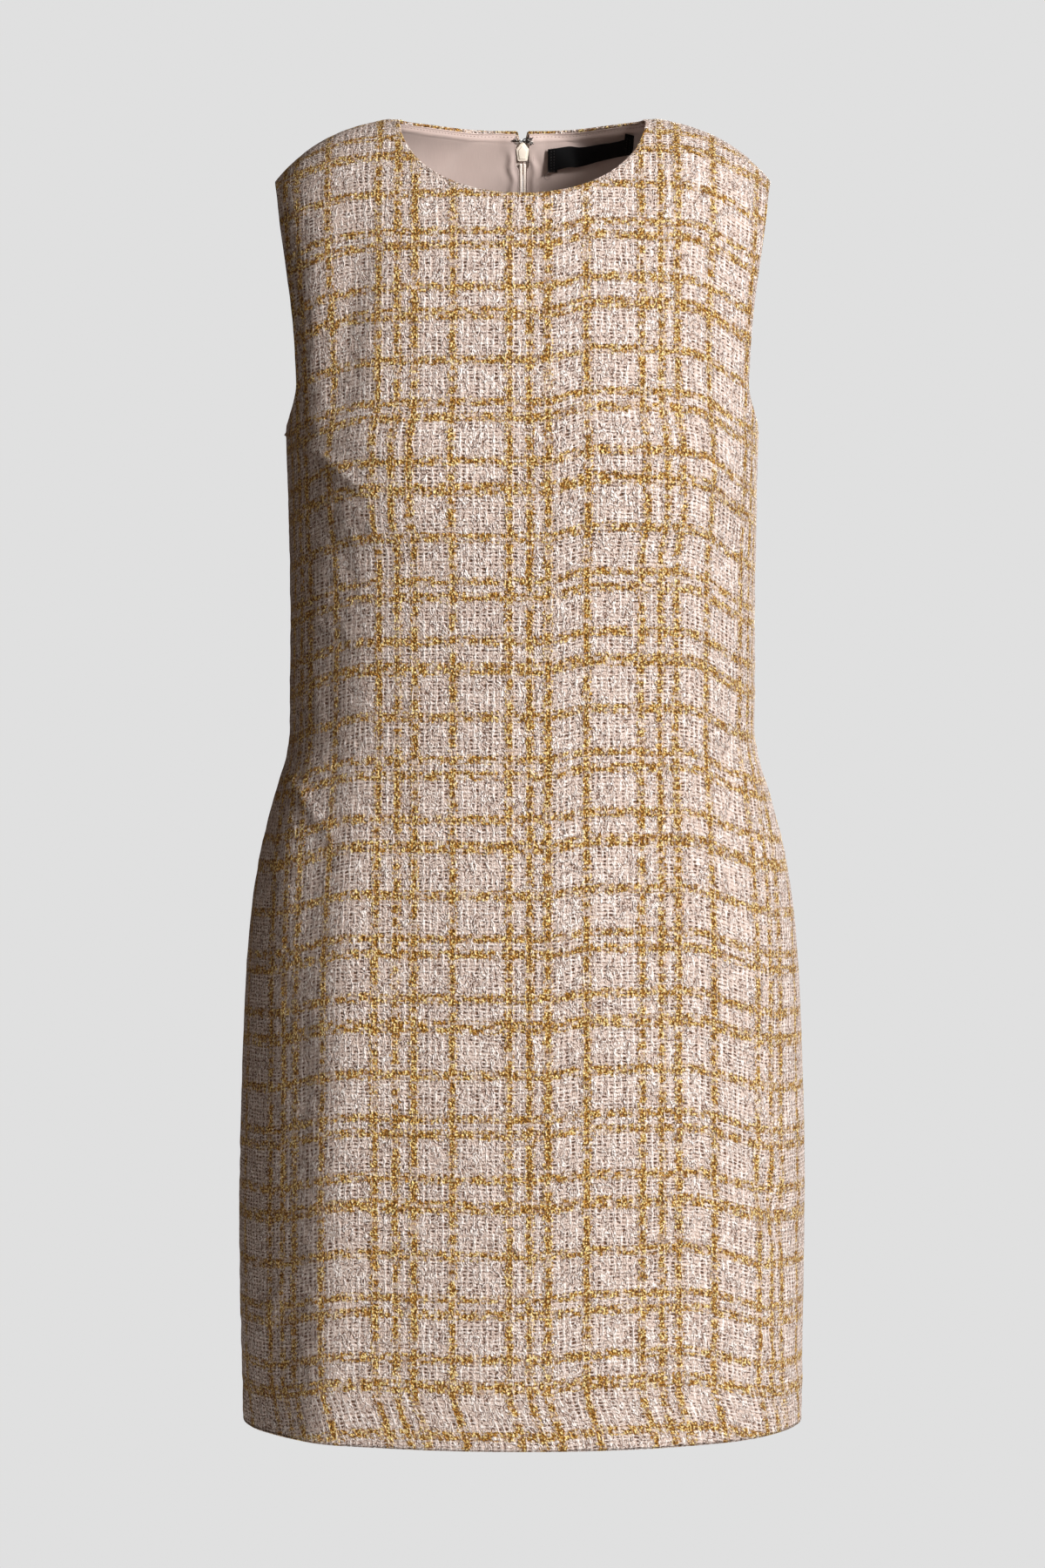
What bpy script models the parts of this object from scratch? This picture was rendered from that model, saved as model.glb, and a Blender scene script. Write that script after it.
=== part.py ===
"""Sleeveless shift dress in checked tweed, lined, with an invisible zip at the centre back.

Metres, +Z up. The origin is midway between the two points where the shoulder seams meet the
neck, which is where the dress is held up. The front faces -Y and the wearer's left is +X.
Every cloth piece is cut from one surface: rings worked out from a table of sections, rolled
over the shoulders, with the neck and the armholes cut out of it. Walls grow inwards from it.
"""
import math
from collections import namedtuple

import bmesh
import bpy
from mathutils import Matrix, Vector

# ---------------------------------------------------------------- driving dimensions (metres)
FRONT, BACK = -1, 1                 # which way a panel faces along Y
LEFT, RIGHT = 1, -1                 # the wearer's left is +X

HEM_HEIGHT = -0.908
UNDERARM_HEIGHT = -0.2215
NECK_HALF_WIDTH = 0.0855
NECK_FRONT_DROP = 0.0665
NECK_BACK_HEIGHT = 0.001
SHOULDER_TIP_X = 0.1736
SHOULDER_DROP = 0.0437

TWEED_THICKNESS = 0.0020
LINING_THICKNESS = 0.0010
LINING_INSET = 0.0038               # outer face of the tweed to outer face of the lining
LINING_HEM_RISE = 0.022
LINING_EDGE_MARGIN = 0.0025         # lining edge short of the tweed edge at neck and armholes

# Rings of the body. The powers shape each ring: 2 is an ellipse, more is boxier.
Section = namedtuple("Section", "height half_width front_depth back_depth front_power back_power")
SECTIONS = (
    Section(0.020, 0.1880, 0.0810, 0.0400, 2.60, 2.40),
    Section(0.000, 0.1860, 0.0840, 0.0485, 2.60, 2.40),
    Section(-0.030, 0.1830, 0.0880, 0.0630, 2.60, 2.40),
    Section(-0.060, 0.1800, 0.0940, 0.0780, 2.60, 2.40),
    Section(-0.100, 0.1745, 0.1030, 0.0940, 2.60, 2.40),
    Section(-0.150, 0.1685, 0.1140, 0.1060, 2.60, 2.40),
    Section(-0.190, 0.1660, 0.1200, 0.1100, 2.60, 2.40),
    Section(-0.2215, 0.1644, 0.1235, 0.1090, 2.60, 2.40),
    Section(-0.265, 0.1629, 0.1250, 0.1050, 2.52, 2.40),
    Section(-0.330, 0.1627, 0.1210, 0.0960, 2.44, 2.40),
    Section(-0.400, 0.1629, 0.1145, 0.0900, 2.38, 2.40),
    Section(-0.440, 0.1640, 0.1130, 0.0920, 2.34, 2.40),
    Section(-0.478, 0.1745, 0.1150, 0.0980, 2.28, 2.34),
    Section(-0.515, 0.1840, 0.1190, 0.1070, 2.22, 2.28),
    Section(-0.570, 0.1918, 0.1240, 0.1180, 2.16, 2.22),
    Section(-0.640, 0.1957, 0.1280, 0.1240, 2.12, 2.20),
    Section(-0.715, 0.1976, 0.1300, 0.1250, 2.12, 2.20),
    Section(-0.800, 0.1971, 0.1310, 0.1240, 2.12, 2.20),
    Section(-0.908, 0.1952, 0.1310, 0.1240, 2.12, 2.20),
)

SHOULDER_ROLL_HEIGHT = 0.12         # height over which the cloth rolls over the shoulder
SHOULDER_ROLL_POWER = 2.4
SHOULDER_SLOPE_SHARE = 0.36         # straight share of the shoulder line, the rest is cubic
NECK_RISE = {FRONT: 0.0064, BACK: 0.0095}       # the shoulder line carried on inside the neck
BACK_NECK_ROLL_CUT = 0.9            # the back neck stands up, with little roll
BACK_NECK_ROLL_REACH = 0.08

ArmholeRow = namedtuple("ArmholeRow", "height front_x back_x")
ARMHOLE = (
    ArmholeRow(-0.0437, 0.1736, 0.1736),
    ArmholeRow(-0.0593, 0.1707, 0.1715),
    ArmholeRow(-0.0791, 0.1681, 0.1692),
    ArmholeRow(-0.1176, 0.1620, 0.1640),
    ArmholeRow(-0.1551, 0.1573, 0.1603),
    ArmholeRow(-0.1914, 0.1552, 0.1585),
)
ARMHOLE_CURVE_SHARE = 0.33          # share of the armhole rows that round the underarm

# Soft folds: a ridge (+) or trough (-) along a line down a panel, with faded ends.
Fold = namedtuple("Fold", "side top_x top_height low_x low_height half_width depth")
FOLDS = (
    Fold(FRONT, 0.082, -0.225, 0.086, -0.300, 0.045, 0.0070),
    Fold(FRONT, -0.082, -0.225, -0.086, -0.300, 0.045, 0.0070),
    Fold(FRONT, -0.112, -0.080, -0.130, -0.215, 0.016, -0.0030),
    Fold(FRONT, 0.120, -0.095, 0.132, -0.205, 0.015, -0.0022),
    Fold(FRONT, -0.128, -0.290, -0.138, -0.560, 0.020, -0.0030),
    Fold(FRONT, 0.134, -0.300, 0.146, -0.540, 0.018, -0.0024),
    Fold(FRONT, -0.100, -0.560, -0.118, -0.908, 0.030, 0.0024),
    Fold(FRONT, 0.150, -0.700, 0.182, -0.790, 0.012, -0.0022),
    Fold(BACK, 0.088, -0.090, 0.092, -0.190, 0.045, 0.0050),
    Fold(BACK, -0.088, -0.090, -0.092, -0.190, 0.045, 0.0050),
    Fold(BACK, -0.118, -0.230, -0.104, -0.480, 0.022, -0.0034),
    Fold(BACK, 0.112, -0.250, 0.122, -0.500, 0.020, -0.0030),
    Fold(BACK, 0.105, -0.520, 0.112, -0.908, 0.032, 0.0028),
    Fold(BACK, -0.096, -0.560, -0.120, -0.908, 0.030, 0.0022),
)
FOLD_FADE = 0.22                    # share of a fold's length over which each end fades

TWEED_SEAM_HALF_GAP = 0.00045
LINING_SEAM_HALF_GAP = 0.00090
NECK_SLIT_DEPTH = 0.017             # the back edges part above the zip slider
NECK_SLIT_HALF_WIDTH = 0.0032
LINING_ZIP_HALF_GAP = 0.0034
LINING_SLIDER_HALF_GAP = 0.0052
LINING_GAP_HEIGHTS = (-0.030, -0.020)   # where the lining's edges part for the slider

BODY_ROWS = 14
UNDERARM_ROWS = 4
SHOULDER_ROWS = 8
SHOULDER_COLUMNS = 4
NECK_COLUMNS = 6
NECK_CROWDING = {FRONT: 1.9, BACK: 1.2}     # neck columns crowd towards the shoulder seam
NECK_ROUNDING = {FRONT: 0.92, BACK: 1.0}    # 1 is an ellipse, less is squarer
SHOULDER_EDGE_ROW = 0.997           # a row close to the shoulder seam keeps the wall upright
COLUMN_FAN = 0.38                   # how far the columns spread from the neck point, radians
COLUMN_FAN_POWERS = (2.0, 0.6)
LINING_EDGE_STRIPS = (0.0030, 0.0005, 0.0)   # the lining's last rows, down from its neck edge
ARC_SAMPLES = 48

ZIP_LAST_ROW = 8                    # body row, up from the hem, where the zip ends
ZIP_TOP = -0.0060
TAPE_HALF_WIDTH = 0.0095
TAPE_INSET = 0.0023
TAPE_THICKNESS = 0.0006
COIL_RADIUS = 0.0010
COIL_X = 0.0014
COIL_INSET = 0.0043

SLIDER_HEIGHT = -0.0125             # height of the slider's own origin on the centre back line
SHIELD_TOP = 0.0070
SHIELD_LENGTH = 0.0140
SHIELD_HALF_WIDTH = 0.0045
SHIELD_FOOT_HALF_WIDTH = 0.0033
SHIELD_INSET = (0.0032, 0.0058)
LUG_THICKNESS = 0.0008
LUG_HALF_HEIGHT = 0.0019
LUG_Z = 0.0034                      # along the tape, above the slider's origin
HINGE_OUT = 0.0024                  # hinge axis, out from the tweed's outer face
HINGE_HOLE_RADIUS = 0.00095

PULL_THICKNESS = 0.0010
PULL_WINDOW_HALF_WIDTH = 0.0010
PULL_WINDOW_END = 0.0036
PullStation = namedtuple("PullStation", "distance half_width")
PULL_OUTLINE = (
    PullStation(-0.0005, 0.0020),
    PullStation(0.0040, 0.0020),
    PullStation(0.0065, 0.0014),
    PullStation(0.0110, 0.0019),
    PullStation(0.0165, 0.0029),
    PullStation(0.0195, 0.0027),
    PullStation(0.0212, 0.0014),
)

FASTENER_WIRE_RADIUS = 0.00040
FASTENER_HEIGHT = -0.0038
FASTENER_INSET = 0.0058

LabelStation = namedtuple("LabelStation", "x height stand_off tilt_deg")
LABEL = (
    LabelStation(0.0185, -0.0075, 0.0012, 0.0),
    LabelStation(0.0300, -0.0073, 0.0020, 14.0),
    LabelStation(0.0420, -0.0068, 0.0032, 27.0),
    LabelStation(0.0540, -0.0062, 0.0040, 34.0),
    LabelStation(0.0650, -0.0056, 0.0040, 36.0),
    LabelStation(0.0740, -0.0052, 0.0032, 30.0),
    LabelStation(0.0800, -0.0050, 0.0024, 24.0),
)
LABEL_DEPTH = 0.0160
LABEL_THICKNESS = 0.0010
LABEL_INSET = 0.0052

# ---------------------------------------------------------------- materials
# name: colour, roughness, metallic
FINISHES = {
    "tweed": ((0.52, 0.42, 0.36), 0.85, 0.0),
    "satin_lining": ((0.56, 0.47, 0.43), 0.38, 0.0),
    "zip_tape": ((0.62, 0.53, 0.46), 0.70, 0.0),
    "zip_enamel": ((0.66, 0.58, 0.48), 0.40, 0.0),
    "fastener_metal": ((0.12, 0.10, 0.09), 0.35, 1.0),
    "label_satin": ((0.012, 0.012, 0.013), 0.45, 0.0),
}


def clear_objects():
    for old in list(bpy.data.objects):
        bpy.data.objects.remove(old, do_unlink=True)


def make_materials():
    materials = {}
    for name, (colour, roughness, metallic) in FINISHES.items():
        material = bpy.data.materials.new(name)
        material.use_nodes = True
        shader = material.node_tree.nodes["Principled BSDF"]
        shader.inputs["Base Color"].default_value = (*colour, 1.0)
        shader.inputs["Roughness"].default_value = roughness
        shader.inputs["Metallic"].default_value = metallic
        materials[name] = material
    return materials


# ---------------------------------------------------------------- the garment's surface
def read_table(table, height):
    """A table's row at a height, on a smooth curve through its rows (highest row first)."""
    height = min(max(height, table[-1].height), table[0].height)
    last = len(table) - 1
    upper = 0
    while upper < last - 1 and height < table[upper + 1].height:
        upper += 1
    above, below = table[upper], table[upper + 1]
    before, after = table[max(upper - 1, 0)], table[min(upper + 2, last)]
    span = above.height - below.height
    share = (above.height - height) / span
    values = []
    for v_before, v_above, v_below, v_after in zip(before, above, below, after):
        slope_above = (v_below - v_before) * span / (before.height - below.height)
        slope_below = (v_after - v_above) * span / (above.height - after.height)
        values.append(
            v_above * (2 * share**3 - 3 * share**2 + 1)
            + slope_above * (share**3 - 2 * share**2 + share)
            + v_below * (3 * share**2 - 2 * share**3)
            + slope_below * (share**3 - share**2)
        )
    return type(above)(*values)


def mix(start, end, share):
    return start + (end - start) * share


def smooth_step(low, high, value):
    share = min(max((value - low) / (high - low), 0.0), 1.0)
    return share * share * (3 - 2 * share)


def shoulder_line(x, side):
    """Height of the shoulder seam's line at x, carried on inwards past the neck."""
    along = abs(x) / NECK_HALF_WIDTH
    if along < 1:
        return NECK_RISE[side] * (1 - along * along)
    share = (abs(x) - NECK_HALF_WIDTH) / (SHOULDER_TIP_X - NECK_HALF_WIDTH)
    return -SHOULDER_DROP * mix(share**3, share, SHOULDER_SLOPE_SHARE)


def shoulder_roll(x, drop, side):
    """Share of the full depth that the cloth has reached at a drop below the shoulder line."""
    roll_height = SHOULDER_ROLL_HEIGHT
    if side == BACK:
        roll_height *= 1 - BACK_NECK_ROLL_CUT * math.exp(-((x / BACK_NECK_ROLL_REACH) ** 4))
    left_to_go = min(max(1 - drop / roll_height, 0.0), 1.0)
    return (1 - left_to_go**SHOULDER_ROLL_POWER) ** (1 / SHOULDER_ROLL_POWER)


def fold_relief(x, height, side):
    """How far the folds push the cloth outwards at a place on one panel."""
    relief = 0.0
    for fold in FOLDS:
        if fold.side != side:
            continue
        share = (fold.top_height - height) / (fold.top_height - fold.low_height)
        line_x = mix(fold.top_x, fold.low_x, min(max(share, 0.0), 1.0))
        fade = smooth_step(-FOLD_FADE, FOLD_FADE, share) * smooth_step(-FOLD_FADE, FOLD_FADE, 1 - share)
        relief += fold.depth * fade * math.exp(-(((x - line_x) / fold.half_width) ** 2))
    return relief


def ring_radius(angle, section, side):
    """Distance from the middle to the ring, at an angle from the side seam."""
    if side == FRONT:
        depth, power = section.front_depth, section.front_power
    else:
        depth, power = section.back_depth, section.back_power
    across = (abs(math.cos(angle)) / section.half_width) ** power
    outwards = (abs(math.sin(angle)) / depth) ** power
    return (across + outwards) ** (-1 / power)


def surface_point(angle, height, side, hand):
    """Point of the tweed's outer face. The angle runs from 0 at the side seam to 90 degrees."""
    radius = ring_radius(angle, read_table(SECTIONS, height), side)
    radius += fold_relief(hand * radius * math.cos(angle), height, side)
    x = radius * math.cos(angle)
    drop = shoulder_line(x, side) - height
    y = side * radius * math.sin(angle) * shoulder_roll(x, drop, side)
    return Vector((hand * x, y, height))


def angle_at(x, height, side):
    """The angle at which a ring passes x, by halving."""
    section = read_table(SECTIONS, height)
    low, high = 0.0, math.pi / 2
    for _ in range(40):
        middle = (low + high) / 2
        if ring_radius(middle, section, side) * math.cos(middle) > x:
            low = middle
        else:
            high = middle
    return (low + high) / 2


def surface_at(x, height, side):
    """Point of the outer face at a signed x and a height."""
    hand = LEFT if x >= 0 else RIGHT
    return surface_point(angle_at(abs(x), height, side), height, side, hand)


def surface_normal(x, height, side):
    """Outward direction of the tweed at a signed x and a height."""
    step = 0.002
    across = surface_at(x + step, height, side) - surface_at(x - step, height, side)
    upwards = surface_at(x, height + step, side) - surface_at(x, height - step, side)
    return (upwards.cross(across) * side).normalized()


# ---------------------------------------------------------------- the cut of a panel
Cut = namedtuple("Cut", "seam_half_gap centre_half_gap")


def tweed_centre_gap(height):
    """Half the gap between the two back panels, with the slit above the zip slider."""
    share = max(0.0, (height - NECK_BACK_HEIGHT) / NECK_SLIT_DEPTH + 1)
    return TWEED_SEAM_HALF_GAP + NECK_SLIT_HALF_WIDTH * share**1.5


def lining_centre_gap(height):
    parting = smooth_step(*LINING_GAP_HEIGHTS, height)
    return mix(LINING_ZIP_HALF_GAP, LINING_SLIDER_HALF_GAP, parting)


def no_centre_gap(height):
    return 0.0


def armhole_edge(share, side):
    """Angle and height on the armhole's edge, from the underarm to the shoulder tip."""
    bend_height = ARMHOLE[-1].height
    if share < ARMHOLE_CURVE_SHARE:
        turn = math.pi / 2 * share / ARMHOLE_CURVE_SHARE
        height = mix(UNDERARM_HEIGHT, bend_height, 1 - math.cos(turn))
        reach = math.sin(turn)
        edge_height = bend_height
    else:
        rise = (share - ARMHOLE_CURVE_SHARE) / (1 - ARMHOLE_CURVE_SHARE)
        height = mix(bend_height, shoulder_line(SHOULDER_TIP_X, side), rise)
        reach = 1.0
        edge_height = height
    edge = read_table(ARMHOLE, edge_height)
    edge_x = edge.front_x if side == FRONT else edge.back_x
    return angle_at(edge_x, edge_height, side) * reach, height


def neck_centre_height(side):
    return -NECK_FRONT_DROP if side == FRONT else NECK_BACK_HEIGHT


def top_edge(side):
    """Angle and height of each column on the shoulder seam and then round the neck."""
    places = []
    for column in range(SHOULDER_COLUMNS):
        x = mix(SHOULDER_TIP_X, NECK_HALF_WIDTH, column / SHOULDER_COLUMNS)
        places.append((x, shoulder_line(x, side)))
    for column in range(NECK_COLUMNS + 1):
        turn = math.pi / 2 * (column / NECK_COLUMNS) ** NECK_CROWDING[side]
        across = max(math.cos(turn), 0.0) ** NECK_ROUNDING[side]
        down = math.sin(turn) ** NECK_ROUNDING[side]
        places.append((NECK_HALF_WIDTH * across, neck_centre_height(side) * down))
    return [(angle_at(x, height, side), height) for x, height in places]


def even_angles(height, side, count):
    """Angles from side seam to centre line that share a ring's length evenly."""
    section = read_table(SECTIONS, height)
    angles = [math.pi / 2 * step / ARC_SAMPLES for step in range(ARC_SAMPLES + 1)]
    radii = [ring_radius(angle, section, side) for angle in angles]
    points = [Vector((r * math.cos(a), r * math.sin(a))) for a, r in zip(angles, radii)]
    lengths = [0.0]
    for start, end in zip(points, points[1:]):
        lengths.append(lengths[-1] + (end - start).length)
    result = []
    step = 0
    for column in range(count + 1):
        target = lengths[-1] * column / count
        while step < ARC_SAMPLES - 1 and lengths[step + 1] < target:
            step += 1
        share = (target - lengths[step]) / (lengths[step + 1] - lengths[step])
        result.append(mix(angles[step], angles[step + 1], share))
    return result


def row_shares():
    """Shares of the way from underarm level to the top edge, a row each."""
    shares = [ARMHOLE_CURVE_SHARE * row / UNDERARM_ROWS for row in range(1, UNDERARM_ROWS)]
    for row in range(SHOULDER_ROWS):
        closing_up = 1 - (1 - row / SHOULDER_ROWS) ** 2
        shares.append(mix(ARMHOLE_CURVE_SHARE, 1, closing_up))
    return shares + [SHOULDER_EDGE_ROW, 1.0]


def column_fan(column, share):
    """How far a column leans towards the shoulder tip, so that columns spread from the neck point."""
    if column < SHOULDER_COLUMNS:
        strength = column / SHOULDER_COLUMNS
    else:
        strength = 1 - (column - SHOULDER_COLUMNS) / NECK_COLUMNS
    rise, fall = COLUMN_FAN_POWERS
    return COLUMN_FAN * strength * share**rise * (1 - share) ** fall


def half_panel(side, hand):
    """Rows of points from hem to shoulder, each from the side seam or armhole to the centre."""
    columns = SHOULDER_COLUMNS + NECK_COLUMNS
    places = []
    for row in range(BODY_ROWS + 1):
        height = mix(HEM_HEIGHT, UNDERARM_HEIGHT, row / BODY_ROWS)
        places.append([(angle, height) for angle in even_angles(height, side, columns)])
    foot = places[-1]
    top = top_edge(side)
    for share in row_shares():
        edge = armhole_edge(share, side)
        centre = (math.pi / 2, mix(UNDERARM_HEIGHT, neck_centre_height(side), share))
        row = []
        for column in range(columns + 1):
            across = column / columns
            place = []
            for axis in (0, 1):
                between = mix(foot[column][axis], top[column][axis], share)
                along = mix(edge[axis], centre[axis], across)
                corners_low = mix(foot[0][axis], foot[-1][axis], across)
                corners_top = mix(top[0][axis], top[-1][axis], across)
                place.append(between + along - mix(corners_low, corners_top, share))
            row.append((place[0] - column_fan(column, share), place[1]))
        places.append(row)
    return [[surface_point(angle, height, side, hand) for angle, height in row] for row in places]


def step_towards(point, target, distance):
    return point + (target - point).normalized() * distance


def down_column(rows, column, distance):
    """The point a distance below the top edge, measured down a column."""
    for upper, lower in zip(rows[::-1], rows[-2::-1]):
        length = (upper[column] - lower[column]).length
        if distance <= length:
            return step_towards(upper[column], lower[column], distance)
        distance -= length
    return rows[0][column]


def lining_half_panel(rows):
    """A tweed half panel cut short at the hem, armhole and neck, on the tweed's own rows."""
    kept = [list(row) for row in rows]
    kept[0] = [step_towards(low, high, LINING_HEM_RISE) for low, high in zip(rows[0], rows[1])]
    for row, strip in zip(kept[-len(LINING_EDGE_STRIPS):], LINING_EDGE_STRIPS):
        for column in range(SHOULDER_COLUMNS + 1, SHOULDER_COLUMNS + NECK_COLUMNS + 1):
            row[column] = down_column(rows, column, LINING_EDGE_MARGIN + strip)
        neck_point, shoulder_point = row[SHOULDER_COLUMNS], row[SHOULDER_COLUMNS - 1]
        row[SHOULDER_COLUMNS] = step_towards(neck_point, shoulder_point, LINING_EDGE_MARGIN)
    underarm, below = kept[BODY_ROWS][0], kept[BODY_ROWS - 1][0]
    kept[BODY_ROWS][0] = step_towards(underarm, below, LINING_EDGE_MARGIN)
    for row in kept[BODY_ROWS + 1:]:
        row[0] = step_towards(row[0], row[1], LINING_EDGE_MARGIN)
    return kept


def set_seam_gaps(rows, side, hand, cut):
    """Keep a half panel clear of the side and shoulder seams, and of the centre back."""
    for row in rows:
        for column, point in enumerate(row):
            x = hand * max(abs(point.x), cut.centre_half_gap(point.z))
            row[column] = Vector((x, side * max(abs(point.y), cut.seam_half_gap), point.z))
    return rows


# ---------------------------------------------------------------- object helpers
def add_object(name, mesh, material, collection):
    piece = bpy.data.objects.new(name, mesh)
    piece.data.materials.append(material)
    collection.objects.link(piece)
    return piece


def grid_mesh(name, rows, outward):
    """Open surface through rows of points, its faces turned to point outwards."""
    mesh = bpy.data.meshes.new(name)
    grid = bmesh.new()
    corners = [[grid.verts.new(point) for point in row] for row in rows]
    for low, high in zip(corners, corners[1:]):
        for column in range(len(low) - 1):
            grid.faces.new((low[column], low[column + 1], high[column + 1], high[column]))
    bmesh.ops.recalc_face_normals(grid, faces=grid.faces)
    middle = grid.faces[len(grid.faces) // 2]
    if middle.normal.dot(outward) < 0:
        bmesh.ops.reverse_faces(grid, faces=grid.faces)
    grid.to_mesh(mesh)
    grid.free()
    mesh.shade_smooth()
    return mesh


def add_wall(piece, inset, thickness):
    """Move an open surface inwards and give it a wall that grows inwards."""
    if inset:
        shift = piece.modifiers.new("inset", "DISPLACE")
        shift.strength = -inset
        shift.mid_level = 0.0
    wall = piece.modifiers.new("wall", "SOLIDIFY")
    wall.thickness = thickness
    wall.offset = -1.0


def flat_plate(name, outlines, thickness, placement):
    """Welded mesh of a flat outline, with holes, half its thickness each way."""
    curve = bpy.data.curves.new(name, "CURVE")
    curve.dimensions = "2D"
    curve.fill_mode = "BOTH"
    curve.extrude = thickness / 2
    for outline in outlines:
        spline = curve.splines.new("POLY")
        spline.points.add(len(outline) - 1)
        for point, (x, y) in zip(spline.points, outline):
            point.co = (x, y, 0.0, 1.0)
        spline.use_cyclic_u = True
    drawn = bpy.data.objects.new(name, curve)
    bpy.context.scene.collection.objects.link(drawn)
    evaluated = drawn.evaluated_get(bpy.context.evaluated_depsgraph_get())
    mesh = bpy.data.meshes.new_from_object(evaluated)
    bpy.data.objects.remove(drawn, do_unlink=True)
    bpy.data.curves.remove(curve)
    plate = bmesh.new()
    plate.from_mesh(mesh)
    bmesh.ops.remove_doubles(plate, verts=plate.verts, dist=1e-6)
    plate.transform(placement)
    bmesh.ops.recalc_face_normals(plate, faces=plate.faces)
    plate.to_mesh(mesh)
    plate.free()
    return mesh


def wire(name, points, radius, material, collection):
    """Round wire through points, with flat caps."""
    curve = bpy.data.curves.new(name, "CURVE")
    curve.dimensions = "3D"
    curve.bevel_depth = radius
    curve.bevel_resolution = 2
    curve.use_fill_caps = True
    spline = curve.splines.new("POLY")
    spline.points.add(len(points) - 1)
    for point, place in zip(spline.points, points):
        point.co = (*place, 1.0)
    return add_object(name, curve, material, collection)


# ---------------------------------------------------------------- cloth panels
def make_panels(prefix, cut_rows, cut, inset, thickness, material, collection):
    """A front cut in one piece and two backs."""
    halves = {}
    for side in (FRONT, BACK):
        gaps = cut._replace(centre_half_gap=no_centre_gap) if side == FRONT else cut
        for hand in (LEFT, RIGHT):
            halves[side, hand] = set_seam_gaps(cut_rows(half_panel(side, hand)), side, hand, gaps)
    whole_front = [left + right[-2::-1] for left, right
                   in zip(halves[FRONT, LEFT], halves[FRONT, RIGHT])]
    panels = {"front": (whole_front, FRONT), "back_left": (halves[BACK, LEFT], BACK),
              "back_right": (halves[BACK, RIGHT], BACK)}
    for name, (rows, side) in panels.items():
        mesh = grid_mesh(prefix + name, rows, Vector((0, side, 0)))
        panel = add_object(prefix + name, mesh, material, collection)
        add_wall(panel, inset, thickness)


def centre_back_heights():
    """Heights of the back panels' rows on the centre line, lowest first."""
    heights = [mix(HEM_HEIGHT, UNDERARM_HEIGHT, row / BODY_ROWS) for row in range(BODY_ROWS + 1)]
    return heights + [mix(UNDERARM_HEIGHT, NECK_BACK_HEIGHT, share) for share in row_shares()]


def make_zip_sides(materials, collection):
    """A tape behind each back panel's edge, and the ridge of its coil."""
    zip_end = centre_back_heights()[ZIP_LAST_ROW]
    tape_heights = [h for h in centre_back_heights() if zip_end <= h < ZIP_TOP] + [ZIP_TOP]
    coil_top = SLIDER_HEIGHT + SHIELD_TOP - SHIELD_LENGTH
    coil_heights = [h for h in tape_heights if h < coil_top] + [coil_top]
    for hand, word in ((LEFT, "left"), (RIGHT, "right")):
        rows = []
        for height in tape_heights:
            edge = tweed_centre_gap(height)
            xs = (edge, mix(edge, TAPE_HALF_WIDTH, 0.5), TAPE_HALF_WIDTH)
            y = surface_at(0.0, height, BACK).y
            rows.append([Vector((hand * x, y, height)) for x in xs])
        name = "zip_tape_" + word
        tape = add_object(name, grid_mesh(name, rows, Vector((0, 1, 0))),
                          materials["zip_tape"], collection)
        add_wall(tape, TAPE_INSET, TAPE_THICKNESS)
        points = []
        for height in coil_heights:
            place, out, _ = centre_back_frame(height)
            points.append(place - out * COIL_INSET + Vector((hand * COIL_X, 0, 0)))
        wire("zip_coil_" + word, points, COIL_RADIUS, materials["zip_tape"], collection)


# ---------------------------------------------------------------- zip slider and pull
def centre_back_frame(height):
    """Point on the centre back line with its outward and upward directions."""
    reach = 0.004
    place = surface_at(0.0, height, BACK)
    above = surface_at(0.0, min(height + reach, NECK_BACK_HEIGHT), BACK)
    below = surface_at(0.0, height - reach, BACK)
    up = (above - below).normalized()
    out = Vector((1, 0, 0)).cross(up).normalized()
    if out.y < 0:
        out = -out
    return place, out, up


def slider_matrix():
    """Slider frame: X across the dress, Y out of the back, Z up the tape."""
    place, out, up = centre_back_frame(SLIDER_HEIGHT)
    matrix = Matrix((Vector((1, 0, 0)), out, up)).transposed().to_4x4()
    matrix.translation = place
    return matrix


def circle(centre, radius, sides):
    turns = [2 * math.pi * step / sides for step in range(sides)]
    return [(centre[0] + radius * math.cos(t), centre[1] + radius * math.sin(t)) for t in turns]


ACROSS_FACE = Matrix(((1, 0, 0, 0), (0, 0, 1, 0), (0, 1, 0, 0), (0, 0, 0, 1)))
ACROSS_EDGE = Matrix(((0, 0, 1, 0), (1, 0, 0, 0), (0, 1, 0, 0), (0, 0, 0, 1)))


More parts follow.
